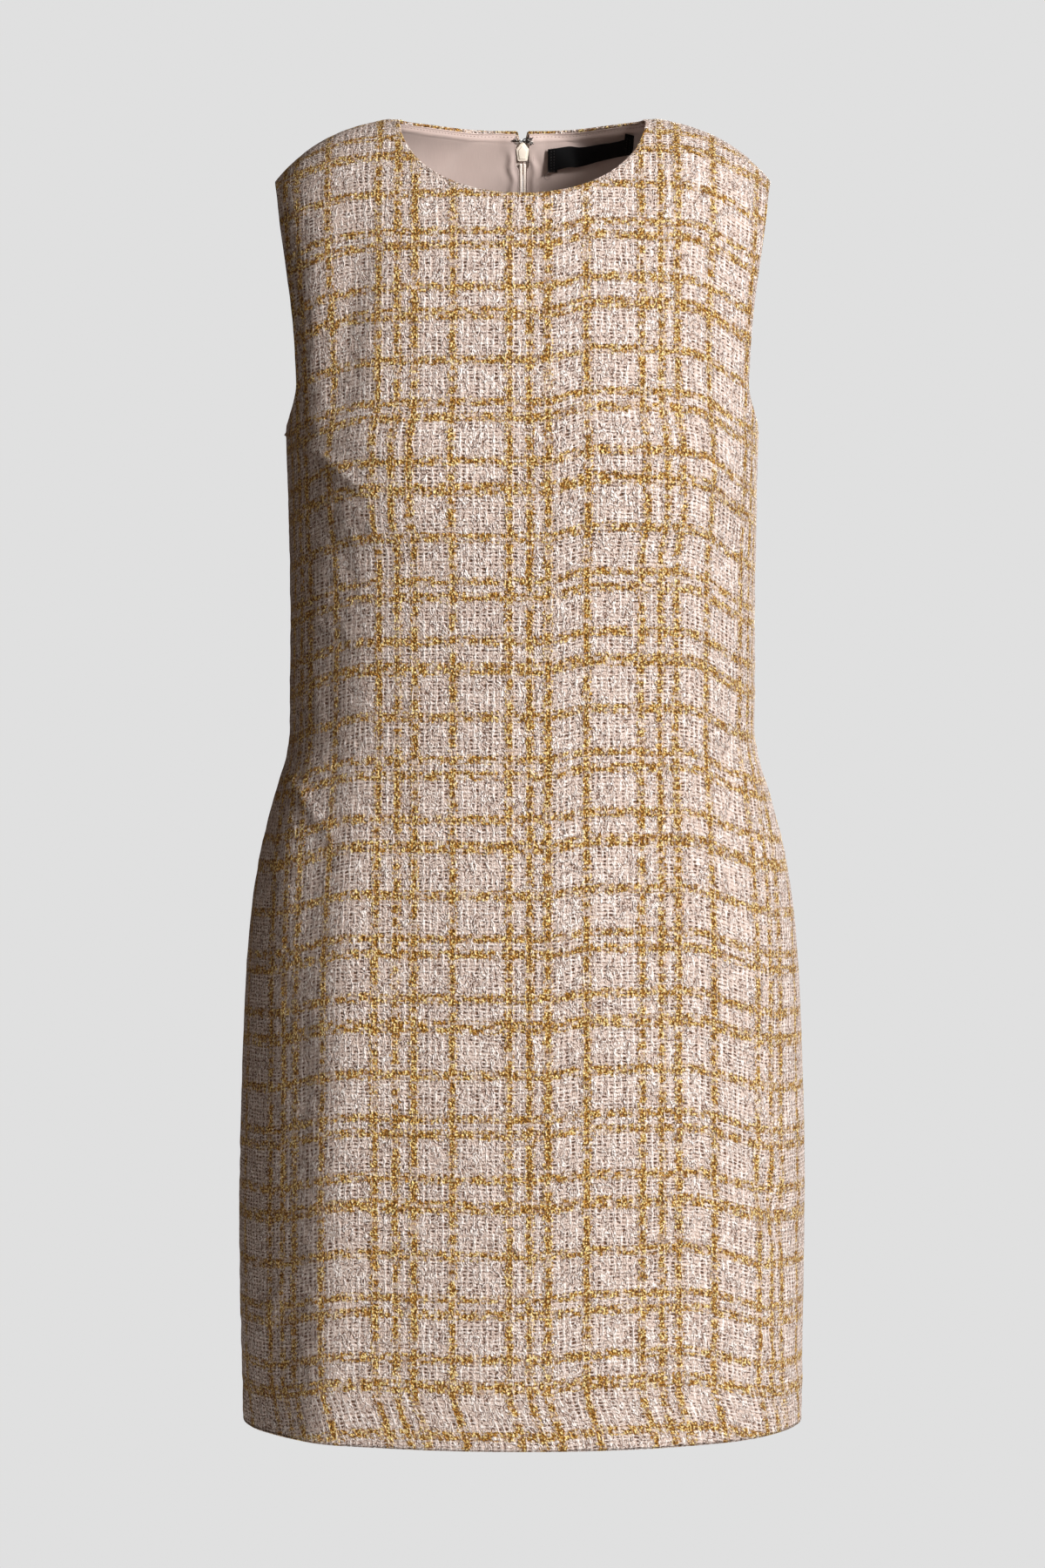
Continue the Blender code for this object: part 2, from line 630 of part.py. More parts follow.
def make_slider(materials, collection, cutters):
    """Shield over the coils inside, and a lug through the slit that carries the pull."""
    foot = SHIELD_TOP - SHIELD_LENGTH
    shoulder = mix(SHIELD_TOP, foot, 0.42)
    shield_outline = [
        (0.0, SHIELD_TOP), (-SHIELD_HALF_WIDTH, shoulder), (-SHIELD_FOOT_HALF_WIDTH, foot),
        (SHIELD_FOOT_HALF_WIDTH, foot), (SHIELD_HALF_WIDTH, shoulder),
    ]
    near, far = SHIELD_INSET
    shield_place = Matrix.Translation((0, -(near + far) / 2, 0)) @ ACROSS_FACE
    shield_mesh = flat_plate("zip_slider", [shield_outline], far - near, shield_place)
    slider = add_object("zip_slider", shield_mesh, materials["zip_enamel"], collection)
    slider.matrix_world = slider_matrix()

    nose = [(HINGE_OUT + LUG_HALF_HEIGHT * math.cos(t), LUG_Z + LUG_HALF_HEIGHT * math.sin(t))
            for t in (math.pi * (step / 8 - 0.5) for step in range(9))]
    root = -(near + far) / 2
    lug_outline = [(root, LUG_Z - LUG_HALF_HEIGHT)] + nose + [(root, LUG_Z + LUG_HALF_HEIGHT)]
    hole = circle((HINGE_OUT, LUG_Z), HINGE_HOLE_RADIUS, 12)
    lug_mesh = flat_plate("slider_lug", [lug_outline, hole], LUG_THICKNESS, ACROSS_EDGE)
    lug = add_object("slider_lug", lug_mesh, materials["zip_enamel"], cutters)
    lug.matrix_world = slider_matrix()
    lug.hide_render = True
    lug.display_type = "WIRE"
    join = slider.modifiers.new("lug", "BOOLEAN")
    join.operation = "UNION"
    join.object = lug


def make_pull(materials, collection):
    """Drop-shaped tab whose top bar passes through the slider's lug. It swings about X."""
    right = [(station.half_width, -station.distance) for station in PULL_OUTLINE]
    left = [(-x, z) for x, z in reversed(right)]
    bar_foot = PULL_OUTLINE[0].distance
    window = [(PULL_WINDOW_HALF_WIDTH, bar_foot), (PULL_WINDOW_HALF_WIDTH, -PULL_WINDOW_END),
              (-PULL_WINDOW_HALF_WIDTH, -PULL_WINDOW_END), (-PULL_WINDOW_HALF_WIDTH, bar_foot)]
    mesh = flat_plate("zip_pull", [right + left, window], PULL_THICKNESS, ACROSS_FACE)
    pull = add_object("zip_pull", mesh, materials["zip_enamel"], collection)
    pull.matrix_world = slider_matrix() @ Matrix.Translation((0, HINGE_OUT, LUG_Z))


# ---------------------------------------------------------------- hook, eye and label
def make_fasteners(materials, collection):
    """A wire hook on the wearer's right edge and a wire eye on the left, at the neck."""
    place, out, up = centre_back_frame(FASTENER_HEIGHT)
    middle = place - out * FASTENER_INSET
    across = Vector((1, 0, 0))

    def spot(x, z, stand_off=0.0):
        return middle + across * x + up * z - out * stand_off

    eye_points = [spot(0.0075, 0.0016)]
    for step in range(9):
        turn = math.pi * (0.5 + step / 8)
        eye_points.append(spot(0.0030 + 0.0026 * math.cos(turn), 0.0016 * math.sin(turn)))
    eye_points.append(spot(0.0075, -0.0016))
    wire("eye", eye_points, FASTENER_WIRE_RADIUS, materials["fastener_metal"], collection)

    hook_points = [spot(-0.0075, 0.0), spot(-0.0015, 0.0, 0.0013)]
    hook_points += [spot(0.0014, 0.0, 0.0015), spot(0.0026, 0.0, 0.0006), spot(0.0026, 0.0, -0.0004)]
    wire("hook", hook_points, FASTENER_WIRE_RADIUS, materials["fastener_metal"], collection)


def make_label(materials, collection):
    """Bare satin strip inside the back neck, bowed away from the lining between its ends."""
    rows = []
    for share in (0.0, 0.5, 1.0):
        row = []
        for station in LABEL:
            place = surface_at(station.x, station.height, BACK)
            outward = surface_normal(station.x, station.height, BACK)
            tilt = math.radians(station.tilt_deg)
            top = place - outward * (LABEL_INSET + station.stand_off)
            lean = surface_at(station.x, station.height - LABEL_DEPTH, BACK) - place
            along = lean.normalized()
            drop = along * math.cos(tilt) - outward * math.sin(tilt)
            row.append(top + drop * LABEL_DEPTH * share)
        rows.append(row)
    mesh = grid_mesh("neck_label", rows, Vector((0, -1, 0)))
    label = add_object("neck_label", mesh, materials["label_satin"], collection)
    add_wall(label, 0.0, LABEL_THICKNESS)


def main():
    clear_objects()
    materials = make_materials()
    dress = bpy.data.collections.new("shift_dress")
    cutters = bpy.data.collections.new("joined_shapes")
    for collection in (dress, cutters):
        bpy.context.scene.collection.children.link(collection)

    make_panels("", list, Cut(TWEED_SEAM_HALF_GAP, tweed_centre_gap), 0.0, TWEED_THICKNESS,
                materials["tweed"], dress)
    make_panels("lining_", lining_half_panel, Cut(LINING_SEAM_HALF_GAP, lining_centre_gap),
                LINING_INSET, LINING_THICKNESS, materials["satin_lining"], dress)
    make_zip_sides(materials, dress)
    make_slider(materials, dress, cutters)
    make_pull(materials, dress)
    make_fasteners(materials, dress)
    make_label(materials, dress)


main()
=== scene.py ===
"""Looks of the sleeveless tweed shift dress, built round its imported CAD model.

Metres, +Z up, the front faces -Y and the wearer's left is +X. The cloth pieces are thin shells
on the same surface as their solids: rings from a table of sections, rolled over the shoulders.
Each cloth point also carries its place on the flat cloth, which the woven check follows.
"""
import math

import bmesh
import bpy
import numpy as np
from mathutils import Matrix, Vector


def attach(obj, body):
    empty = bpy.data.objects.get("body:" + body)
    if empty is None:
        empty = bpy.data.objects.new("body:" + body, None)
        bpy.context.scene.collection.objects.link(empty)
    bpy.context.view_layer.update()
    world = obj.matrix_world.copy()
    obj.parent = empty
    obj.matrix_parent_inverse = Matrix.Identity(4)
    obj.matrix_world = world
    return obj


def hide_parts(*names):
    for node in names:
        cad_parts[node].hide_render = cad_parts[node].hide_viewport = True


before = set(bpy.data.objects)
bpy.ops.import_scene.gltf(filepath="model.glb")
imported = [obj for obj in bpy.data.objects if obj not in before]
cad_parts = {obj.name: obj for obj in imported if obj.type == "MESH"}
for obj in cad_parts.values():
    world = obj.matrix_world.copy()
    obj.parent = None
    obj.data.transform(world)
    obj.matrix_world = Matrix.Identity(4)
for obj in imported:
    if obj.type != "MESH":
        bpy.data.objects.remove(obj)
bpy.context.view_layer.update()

# ---- the dress's own sizes (metres)
FRONT, BACK = -1, 1
LEFT, RIGHT = 1, -1
MM = 0.001  # the tables are in millimetres

HEM_HEIGHT = -0.908
UNDERARM_HEIGHT = -0.2215
NECK_HALF_WIDTH = 0.0855
NECK_CENTRE = {FRONT: -0.0665, BACK: 0.001}
SHOULDER_TIP_X = 0.1736
SHOULDER_DROP = 0.0437

# height, half width, front depth, back depth, front power, back power
SECTIONS = np.array([
    (20, 188, 81, 40, 2.60, 2.40),
    (0, 186, 84, 48.5, 2.60, 2.40),
    (-30, 183, 88, 63, 2.60, 2.40),
    (-60, 180, 94, 78, 2.60, 2.40),
    (-100, 174.5, 103, 94, 2.60, 2.40),
    (-150, 168.5, 114, 106, 2.60, 2.40),
    (-190, 166, 120, 110, 2.60, 2.40),
    (-221.5, 164.4, 123.5, 109, 2.60, 2.40),
    (-265, 162.9, 125, 105, 2.52, 2.40),
    (-330, 162.7, 121, 96, 2.44, 2.40),
    (-400, 162.9, 114.5, 90, 2.38, 2.40),
    (-440, 164, 113, 92, 2.34, 2.40),
    (-478, 174.5, 115, 98, 2.28, 2.34),
    (-515, 184, 119, 107, 2.22, 2.28),
    (-570, 191.8, 124, 118, 2.16, 2.22),
    (-640, 195.7, 128, 124, 2.12, 2.20),
    (-715, 197.6, 130, 125, 2.12, 2.20),
    (-800, 197.1, 131, 124, 2.12, 2.20),
    (-908, 195.2, 131, 124, 2.12, 2.20),
]) * [MM, MM, MM, MM, 1, 1]
SHOULDER_ROLL_HEIGHT = 0.12
SHOULDER_ROLL_POWER = 2.4
SHOULDER_SLOPE_SHARE = 0.36
NECK_RISE = {FRONT: 0.0064, BACK: 0.0095}
BACK_NECK_ROLL_CUT = 0.9
BACK_NECK_ROLL_REACH = 0.08

# height, front x, back x
ARMHOLE = np.array([
    (-43.7, 173.6, 173.6),
    (-59.3, 170.7, 171.5),
    (-79.1, 168.1, 169.2),
    (-117.6, 162, 164),
    (-155.1, 157.3, 160.3),
    (-191.4, 155.2, 158.5),
]) * MM
ARMHOLE_CURVE_SHARE = 0.33

# side, top x, top height, low x, low height, half width, depth
FOLDS = [
    (FRONT, 82, -225, 86, -300, 45, 7),
    (FRONT, -82, -225, -86, -300, 45, 7),
    (FRONT, -112, -80, -130, -215, 16, -3),
    (FRONT, 120, -95, 132, -205, 15, -2.2),
    (FRONT, -128, -290, -138, -560, 20, -3),
    (FRONT, 134, -300, 146, -540, 18, -2.4),
    (FRONT, -100, -560, -118, -908, 30, 2.4),
    (FRONT, 150, -700, 182, -790, 12, -2.2),
    (BACK, 88, -90, 92, -190, 45, 5),
    (BACK, -88, -90, -92, -190, 45, 5),
    (BACK, -118, -230, -104, -480, 22, -3.4),
    (BACK, 112, -250, 122, -500, 20, -3),
    (BACK, 105, -520, 112, -908, 32, 2.8),
    (BACK, -96, -560, -120, -908, 30, 2.2),
]
FOLD_FADE = 0.22
# The same, for small creases in the tweed alone.
CREASES = [
    (FRONT, -117, -500, -137, -960, 23, 5),
    (FRONT, 140, -530, 150, -960, 24, 2.2),
    (BACK, 134, -520, 146, -960, 23, 3.4),
    (BACK, -134, -540, -146, -960, 23, 3),
    (FRONT, -112, -110, -124, -235, 13, -1.6),
    (FRONT, 150, -700, 190, -748, 6, 1.7),
    (FRONT, 140, -722, 184, -768, 5.5, -1.5),
    (FRONT, 136, -745, 178, -790, 6, 1.2),
    (FRONT, 150, -832, 190, -878, 6, 1.7),
    (FRONT, 140, -850, 180, -896, 5.5, -1.4),
    (FRONT, -160, -462, -128, -500, 6.5, 1.4),
    (FRONT, 158, -452, 126, -494, 6.5, 1.4),
    (FRONT, -146, -236, -104, -272, 8, 1.5),
    (FRONT, 146, -238, 108, -280, 8, 1.3),
    (FRONT, -160, -800, -186, -850, 7, 1.4),
    (BACK, -146, -236, -100, -282, 8, 1.6),
    (BACK, 146, -240, 104, -276, 8, 1.4),
    (BACK, 160, -440, 110, -472, 7.5, 1.7),
    (BACK, 158, -466, 112, -492, 7, -1.3),
    (BACK, -160, -446, -114, -480, 7.5, 1.6),
    (BACK, -150, -735, -186, -780, 6, 1.5),
    (BACK, 152, -820, 184, -866, 6, 1.5),
]
NECK_ROUNDING = {FRONT: 0.92, BACK: 1.0}
SHOULDER_SHARE = 0.4  # share of a half panel's columns that end on the shoulder
COLUMN_FAN = 0.38
COLUMN_FAN_POWERS = (2.0, 0.6)
NECK_SLIT_DEPTH = 0.017
NECK_SLIT_HALF_WIDTH = 0.0032

TWEED_GRID = (264, 88, 96)  # rows below the underarm, rows above it, columns a half panel
EVEN = (1.0, 1.0)  # how rows crowd to the top edge, and columns to the centre
TWEED_HALF_THICKNESS = 0.0010
TWEED_SEAM_GAP = 0.0001
LINING_GRID = (176, 84, 72)
LINING_CROWDING = (1.7, 1.5)
LINING_INSET = 0.0043
LINING_EDGE_INSET = 0.0026  # the lining closes up to the tweed at the neck and armholes
LINING_NECK_MARGIN = 0.0011
LINING_ARM_MARGIN = 0.0013
LINING_SEAM_GAP = 0.0004
LINING_ZIP_GAP = (0.0030, 0.0050)  # from the centre back, beside the coils and beside the slider
LINING_ZIP_GAP_HEIGHTS = (-0.0240, -0.0205)
LINING_EDGE_RADIUS = 0.0004
LINING_SEAM_ALLOWANCE = 0.0066
LINING_HEM_RISE = 0.022

ZIP_FOOT = -0.5158
SLIDER_HEIGHT = -0.0125  # height of the slider's own origin on the centre back line
SHIELD_FOOT = -0.0070
SHIELD_INSET = (0.0032, 0.0058)
LUG_Z = 0.0034
LUG_HALF_HEIGHT = 0.0019
HINGE_OUT = 0.0024
FASTENER_HEIGHT = -0.0038
FASTENER_INSET = 0.0058

# x, height, stand-off, depth seen of the ribbon
LABEL = np.array([
    (18.5, -9.6, 1.2, 16.5),
    (30, -8, 1.8, 15),
    (42, -6.3, 2.2, 14),
    (54, -5.6, 2.2, 13.5),
    (65, -5.3, 2.2, 13.3),
    (74, -4.2, 2, 13.6),
    (80, -3.1, 1.6, 14.5),
]) * MM
LABEL_DEPTH = 0.0160
LABEL_TILT = math.radians(8)
LABEL_INSET = 0.0052


# ---- the garment's surface
def read_table(table, height):
    """Rows of a table at heights, on a smooth curve through its rows (highest row first)."""
    height = np.clip(height, table[-1, 0], table[0, 0])
    last = len(table) - 1
    upper = np.clip(np.searchsorted(-table[:, 0], -height, side="right") - 1, 0, last - 1)
    before, above, below, after = (table[np.clip(upper + k, 0, last)] for k in (-1, 0, 1, 2))
    span = (above - below)[..., :1]
    share = (above[..., :1] - height[..., None]) / span
    slope_above = (below - before) * span / (before - below)[..., :1]
    slope_below = (after - above) * span / (above - after)[..., :1]
    return (above * (2 * share**3 - 3 * share**2 + 1)
            + slope_above * (share**3 - 2 * share**2 + share)
            + below * (3 * share**2 - 2 * share**3)
            + slope_below * (share**3 - share**2))


def mix(start, end, share):
    return start + (end - start) * share


def smooth_step(low, high, value):
    share = np.clip((value - low) / (high - low), 0.0, 1.0)
    return share * share * (3 - 2 * share)


def shoulder_line(x, side):
    along = np.abs(x) / NECK_HALF_WIDTH
    share = np.clip((np.abs(x) - NECK_HALF_WIDTH) / (SHOULDER_TIP_X - NECK_HALF_WIDTH), 0, None)
    outside = -SHOULDER_DROP * mix(share**3, share, SHOULDER_SLOPE_SHARE)
    return np.where(along < 1, NECK_RISE[side] * (1 - along * along), outside)


def shoulder_roll(x, drop, side):
    roll_height = SHOULDER_ROLL_HEIGHT
    if side == BACK:
        roll_height = roll_height * (1 - BACK_NECK_ROLL_CUT * np.exp(-((x / BACK_NECK_ROLL_REACH) ** 4)))
    left_to_go = np.clip(1 - drop / roll_height, 0.0, 1.0)
    return (1 - left_to_go**SHOULDER_ROLL_POWER) ** (1 / SHOULDER_ROLL_POWER)


def fold_relief(x, height, side, folds):
    relief = np.zeros_like(x)
    for fold_side, *sizes in folds:
        if fold_side != side:
            continue
        top_x, top_height, low_x, low_height, half_width, depth = np.array(sizes) * MM
        share = (top_height - height) / (top_height - low_height)
        line_x = mix(top_x, low_x, np.clip(share, 0, 1))
        fade = (smooth_step(-FOLD_FADE, FOLD_FADE, share)
                * smooth_step(-FOLD_FADE, FOLD_FADE, 1 - share))
        relief += depth * fade * np.exp(-(((x - line_x) / half_width) ** 2))
    return relief


def ring_radius(angle, height, side):
    section = read_table(SECTIONS, height)
    depth, power = (section[..., column] for column in ((2, 4) if side == FRONT else (3, 5)))
    across = (np.abs(np.cos(angle)) / section[..., 1]) ** power
    outwards = (np.abs(np.sin(angle)) / depth) ** power
    return (across + outwards) ** (-1 / power)


def surface(angle, height, side, hand):
    """Points of the tweed's outer face. The angle runs from 0 at the side seam to 90 degrees."""
    radius = ring_radius(angle, height, side)
    radius = radius + fold_relief(hand * radius * np.cos(angle), height, side, FOLDS)
    x = radius * np.cos(angle)
    y = side * radius * np.sin(angle) * shoulder_roll(x, shoulder_line(x, side) - height, side)
    return np.stack([hand * x, y, height + 0 * x], axis=-1)


def angle_at(x, height, side):
    """The angle at which a ring passes x, by halving."""
    x, height = np.broadcast_arrays(np.asarray(x, float), np.asarray(height, float))
    low, high = np.zeros(x.shape), np.full(x.shape, math.pi / 2)
    for _ in range(36):
        middle = (low + high) / 2
        outside = ring_radius(middle, height, side) * np.cos(middle) > x
        low, high = np.where(outside, middle, low), np.where(outside, high, middle)
    return (low + high) / 2


def surface_at(x, height, side):
    """Point of the outer face at a signed x and a height."""
    hand = LEFT if x >= 0 else RIGHT
    height = np.array(float(height))
    return Vector(surface(angle_at(abs(x), height, side), height, side, hand))


def surface_normal(x, height, side):
    step = 0.002
    across = surface_at(x + step, height, side) - surface_at(x - step, height, side)
    upwards = surface_at(x, height + step, side) - surface_at(x, height - step, side)
    return (upwards.cross(across) * side).normalized()


# ---- panels as fine grids
ARC_SAMPLES = 96


def ring_lengths(heights, side):
    """Angles from the side seam to the centre, and the ring's length from the centre to each."""
    angles = np.linspace(0, math.pi / 2, ARC_SAMPLES + 1)
    radii = ring_radius(angles[None, :], heights[:, None], side)
    points = np.stack([radii * np.cos(angles), radii * np.sin(angles)], axis=-1)
    steps = np.linalg.norm(np.diff(points, axis=1), axis=-1)
    from_side = np.concatenate([np.zeros((len(heights), 1)), np.cumsum(steps, axis=1)], axis=1)
    return angles, from_side[:, -1:] - from_side


def armhole_edge(share, side, margin):
    """Angles and heights on the armhole's edge, from the underarm to the shoulder tip."""
    low = UNDERARM_HEIGHT - margin
    bend_height = ARMHOLE[-1, 0]
    turn = math.pi / 2 * np.clip(share / ARMHOLE_CURVE_SHARE, 0, 1)
    rise = np.clip((share - ARMHOLE_CURVE_SHARE) / (1 - ARMHOLE_CURVE_SHARE), 0, 1)
    tip_height = float(shoulder_line(np.array(SHOULDER_TIP_X - margin), side))
    upper_height = mix(bend_height, tip_height, rise)
    height = np.where(share < ARMHOLE_CURVE_SHARE, mix(low, bend_height, 1 - np.cos(turn)), upper_height)
    edge_height = np.where(share < ARMHOLE_CURVE_SHARE, bend_height, upper_height)
    edge_x = read_table(ARMHOLE, edge_height)[..., 1 if side == FRONT else 2] - margin
    return angle_at(edge_x, edge_height, side) * np.sin(turn), height


def top_edge(across, side, neck_margin, arm_margin):
    """Angles and heights on the shoulder seam and then round the neck, for shares across."""
    neck_x = NECK_HALF_WIDTH + neck_margin
    along = np.clip(across / SHOULDER_SHARE, 0, 1)
    shoulder_x = mix(SHOULDER_TIP_X - arm_margin, neck_x, along)
    turn = math.pi / 2 * np.clip((across - SHOULDER_SHARE) / (1 - SHOULDER_SHARE), 0, 1)
    neck_point_height = shoulder_line(np.array(neck_x), side)
    centre_height = NECK_CENTRE[side] - neck_margin
    neck_height = mix(neck_point_height, centre_height, np.sin(turn) ** NECK_ROUNDING[side])
    x = np.where(across < SHOULDER_SHARE, shoulder_x,
                 neck_x * np.clip(np.cos(turn), 0, 1) ** NECK_ROUNDING[side])
    height = np.where(across < SHOULDER_SHARE, shoulder_line(shoulder_x, side), neck_height)
    return angle_at(x, height, side), height


def half_panel(side, hand, grid, hem_rise=0.0, neck_margin=0.0, arm_margin=0.0, crowding=EVEN):
    """Points of half a panel and their places on the flat cloth, rows from the hem upwards."""
    body_rows, yoke_rows, columns = grid
    across = 1 - np.linspace(1, 0, columns + 1) ** crowding[1]
    low = UNDERARM_HEIGHT - arm_margin
    heights = np.linspace(HEM_HEIGHT + hem_rise, low, body_rows + 1)
    ring_angles, from_centre = ring_lengths(heights, side)
    angles = np.empty((body_rows + 1, columns + 1))
    for row, lengths in enumerate(from_centre):
        angles[row] = np.interp(lengths[0] * across, lengths[0] - lengths, ring_angles)
    body = np.stack([angles, np.repeat(heights[:, None], columns + 1, axis=1)], axis=-1)

    foot = body[-1]
    top = np.stack(top_edge(across, side, neck_margin, arm_margin), axis=-1)
    share = 1 - np.linspace(1, 0, yoke_rows + 1)[1:] ** crowding[0]
    edge = np.stack(armhole_edge(share, side, arm_margin), axis=-1)
    centre = np.stack([np.full(share.shape, math.pi / 2), mix(low, top[-1, 1], share)], axis=-1)
    s, c = share[:, None, None], across[None, :, None]
    yoke = (mix(foot[None], top[None], s) + mix(edge[:, None], centre[:, None], c)
            - mix(mix(foot[0], foot[-1], c), mix(top[0], top[-1], c), s))
    rise, fall = COLUMN_FAN_POWERS
    strength = np.where(across < SHOULDER_SHARE, across / SHOULDER_SHARE,
                        (1 - across) / (1 - SHOULDER_SHARE))
    yoke[..., 0] -= COLUMN_FAN * strength[None] * (share**rise * (1 - share) ** fall)[:, None]
    places = np.concatenate([body, yoke])
    points = surface(places[..., 0], places[..., 1], side, hand)
    return points, flat_places(places, side, hand)


# ---- where a point lies on the cloth
WEFT_START_HEIGHT = -0.659  # a single gold weft line crosses the front here
SIDE_DROP = 0.014  # the weft lines sag towards the side seams
SIDE_DROP_REACH = (0.105, 0.200)
HEM_LEAN = -0.010  # the turned-up hem skews the warp lines
HEM_LEAN_REACH = 0.042
YOKE_HEIGHT = -0.16  # above here the cloth's length also follows the shoulder's roll
RING_ROWS = 199
RISE_ROWS = 399
RISE_COLUMNS = 48


def between(table, row, column):
    """Values of a table at fractional rows and columns."""
    row = np.clip(row, 0, table.shape[0] - 1.001)
    column = np.clip(column, 0, table.shape[1] - 1.001)
    i, j = row.astype(int), column.astype(int)
    return mix(mix(table[i, j], table[i + 1, j], row - i),
               mix(table[i, j + 1], table[i + 1, j + 1], row - i), column - j)


def flat_places(places, side, hand):
    """Distance from the centre line and height on the flat cloth, for angles and heights."""
    angle, height = places[..., 0], places[..., 1]
    share_up = (height - HEM_HEIGHT) / (SECTIONS[0, 0] - HEM_HEIGHT)
    share_in = angle / (math.pi / 2)
    _, from_centre = ring_lengths(np.linspace(HEM_HEIGHT, SECTIONS[0, 0], RING_ROWS + 1), side)
    u = between(from_centre, share_up * RING_ROWS, share_in * ARC_SAMPLES)

    heights = np.linspace(HEM_HEIGHT, SECTIONS[0, 0], RISE_ROWS + 1)
    angles = np.linspace(0, math.pi / 2, RISE_COLUMNS + 1)
    face = surface(angles[None, :], heights[:, None] + 0 * angles, side, LEFT)
    centre_y = ring_radius(np.full(len(heights), math.pi / 2), heights, side)
    level = np.diff(centre_y)[:, None] ** 2
    rolled = np.maximum(np.diff(face[..., 1], axis=0) ** 2, level)
    steps = np.sqrt(np.diff(heights)[:, None] ** 2
                    + np.where(heights[1:, None] > YOKE_HEIGHT, rolled, level))
    rise = np.concatenate([np.zeros((1, RISE_COLUMNS + 1)), np.cumsum(steps, axis=0)])
    v = between(rise, share_up * RISE_ROWS, share_in * RISE_COLUMNS)
    v -= np.interp(WEFT_START_HEIGHT, heights, rise[:, -1])
    lean = 1 - smooth_step(HEM_HEIGHT, HEM_HEIGHT + HEM_LEAN_REACH, height)
    u = hand * u - HEM_LEAN * side * lean
    return np.stack([u, v + weft_sag(u, height, side)], axis=-1)


def weft_sag(u, height, side):
    """How much the cloth hangs down here, which carries the weft lines lower."""
    sag = SIDE_DROP * smooth_step(*SIDE_DROP_REACH, np.abs(u))
    if side == FRONT:
        lifted = smooth_step(0.012, 0.050, u) * (1 - smooth_step(0.115, 0.165, u))
        sag = sag - lifted * mix(0.0035, 0.0080, smooth_step(-0.75, -0.15, height))
    return sag


# ---- smooth random fields
def lattice_noise(u, v, cell_u, cell_v, seed):
    """Smooth random values from -1 to 1 over the flat cloth."""
    size = 256
    table = np.pad(np.random.default_rng(seed).uniform(-1, 1, (size, size)), (0, 1), mode="wrap")
    x, y = u / cell_u, v / cell_v
    i, j = np.floor(x).astype(int), np.floor(y).astype(int)
    s, t = smooth_step(0, 1, x - i), smooth_step(0, 1, y - j)
    i, j = i % size, j % size
    return mix(mix(table[i, j], table[i + 1, j], s), mix(table[i, j + 1], table[i + 1, j + 1], s), t)


def grid_normals(points, side):
    across = np.gradient(points, axis=1)
    upwards = np.gradient(points, axis=0)
    normals = np.cross(upwards, across)
    normals /= np.linalg.norm(normals, axis=-1, keepdims=True) + 1e-12
    facing = np.where(normals[..., 1:2] * side < 0, -1.0, 1.0)
    middle = facing[len(facing) // 3, len(facing[0]) // 2, 0]
    return normals * middle


# ---- sheets of cloth as meshes
def link(name, data):
    thing = bpy.data.objects.new(name, data)
    bpy.context.scene.collection.objects.link(thing)
    return thing


def smooth_object(name, mesh, material):
    mesh.materials.append(material)
    mesh.shade_smooth()
    return link(name, mesh)


class Sheet:
    """A cloth mesh in the making: points, their flat places and faces, begun as one grid."""

    def __init__(self, points, flats):
        self.points, self.flats, self.faces = [], [], []
        self.count = 0
        self.painted_band_light = None
        self.index = self.add_points(points, flats)
        self.add_faces(self.index)

    def add_points(self, points, flats):
        index = np.arange(self.count, self.count + points[..., 0].size).reshape(points.shape[:-1])
        self.points.append(points.reshape(-1, 3))
        self.flats.append(flats.reshape(-1, 2))
        self.count += index.size
        return index

    def add_faces(self, index):
        low_left, low_right = index[:-1, :-1], index[:-1, 1:]
        top_left, top_right = index[1:, :-1], index[1:, 1:]
        self.faces.append(np.stack([low_left, low_right, top_right, top_left], axis=-1).reshape(-1, 4))

    def object(self, name, outward, material):
        points = np.concatenate(self.points)
        flats = np.concatenate(self.flats)
        faces = np.concatenate(self.faces)
        corners = points[faces]
        normals = np.cross(corners[:, 2] - corners[:, 0], corners[:, 3] - corners[:, 1])
        if (normals[: len(normals) // 3] @ np.array(outward)).sum() < 0:
            faces = faces[:, ::-1]
        mesh = bpy.data.meshes.new(name)
        mesh.from_pydata(points, [], faces)
        layer = mesh.uv_layers.new(name="cloth")
        layer.uv.foreach_set("vector", flats[faces.ravel()].ravel())
        # The lining's band along its edges is painted paler: painted light, partly show-through of the
        # seam allowances.
        if self.painted_band_light is not None:
            pale = np.ones(len(points))
            pale[:self.painted_band_light.size] = self.painted_band_light.ravel()
            mesh.attributes.new("pale", "FLOAT", "POINT").data.foreach_set("value", pale)
        mesh.validate()
        return smooth_object(name, mesh, material)


def turn_in(sheet, edge_index, points, flats, outward, normals, radius, length, steps, cover):
    """Roll an edge of a sheet inwards, then carry it back behind the sheet by a length, or
    behind the grid lines given as cover."""
    place, run = flats
    rows = [edge_index]
    for step in range(1, 6):
        turn = math.pi * step / 5
        row = points + outward * radius * math.sin(turn) - normals * radius * (1 - math.cos(turn))
        rows.append(sheet.add_points(row, place + run * radius * turn))
    if cover is None:
        for step in range(1, steps + 1):
            back = length * step / steps
            row = points - normals * 2 * radius - outward * back
            rows.append(sheet.add_points(row, place + run * (radius * math.pi + back)))
    else:
        for line, line_normals, line_place in zip(*cover):
            rows.append(sheet.add_points(line - line_normals * 2 * radius, 2 * place - line_place))
    sheet.add_faces(np.array(rows))


def unit(vectors):
    return vectors / (np.linalg.norm(vectors, axis=-1, keepdims=True) + 1e-12)


def edge_direction(points, inner):
    """Direction off the cloth at an edge, square to the edge itself."""
    along = unit(np.gradient(points, axis=0))
    out = points - inner
    out = out - along * (out * along).sum(-1, keepdims=True)
    return unit(out)


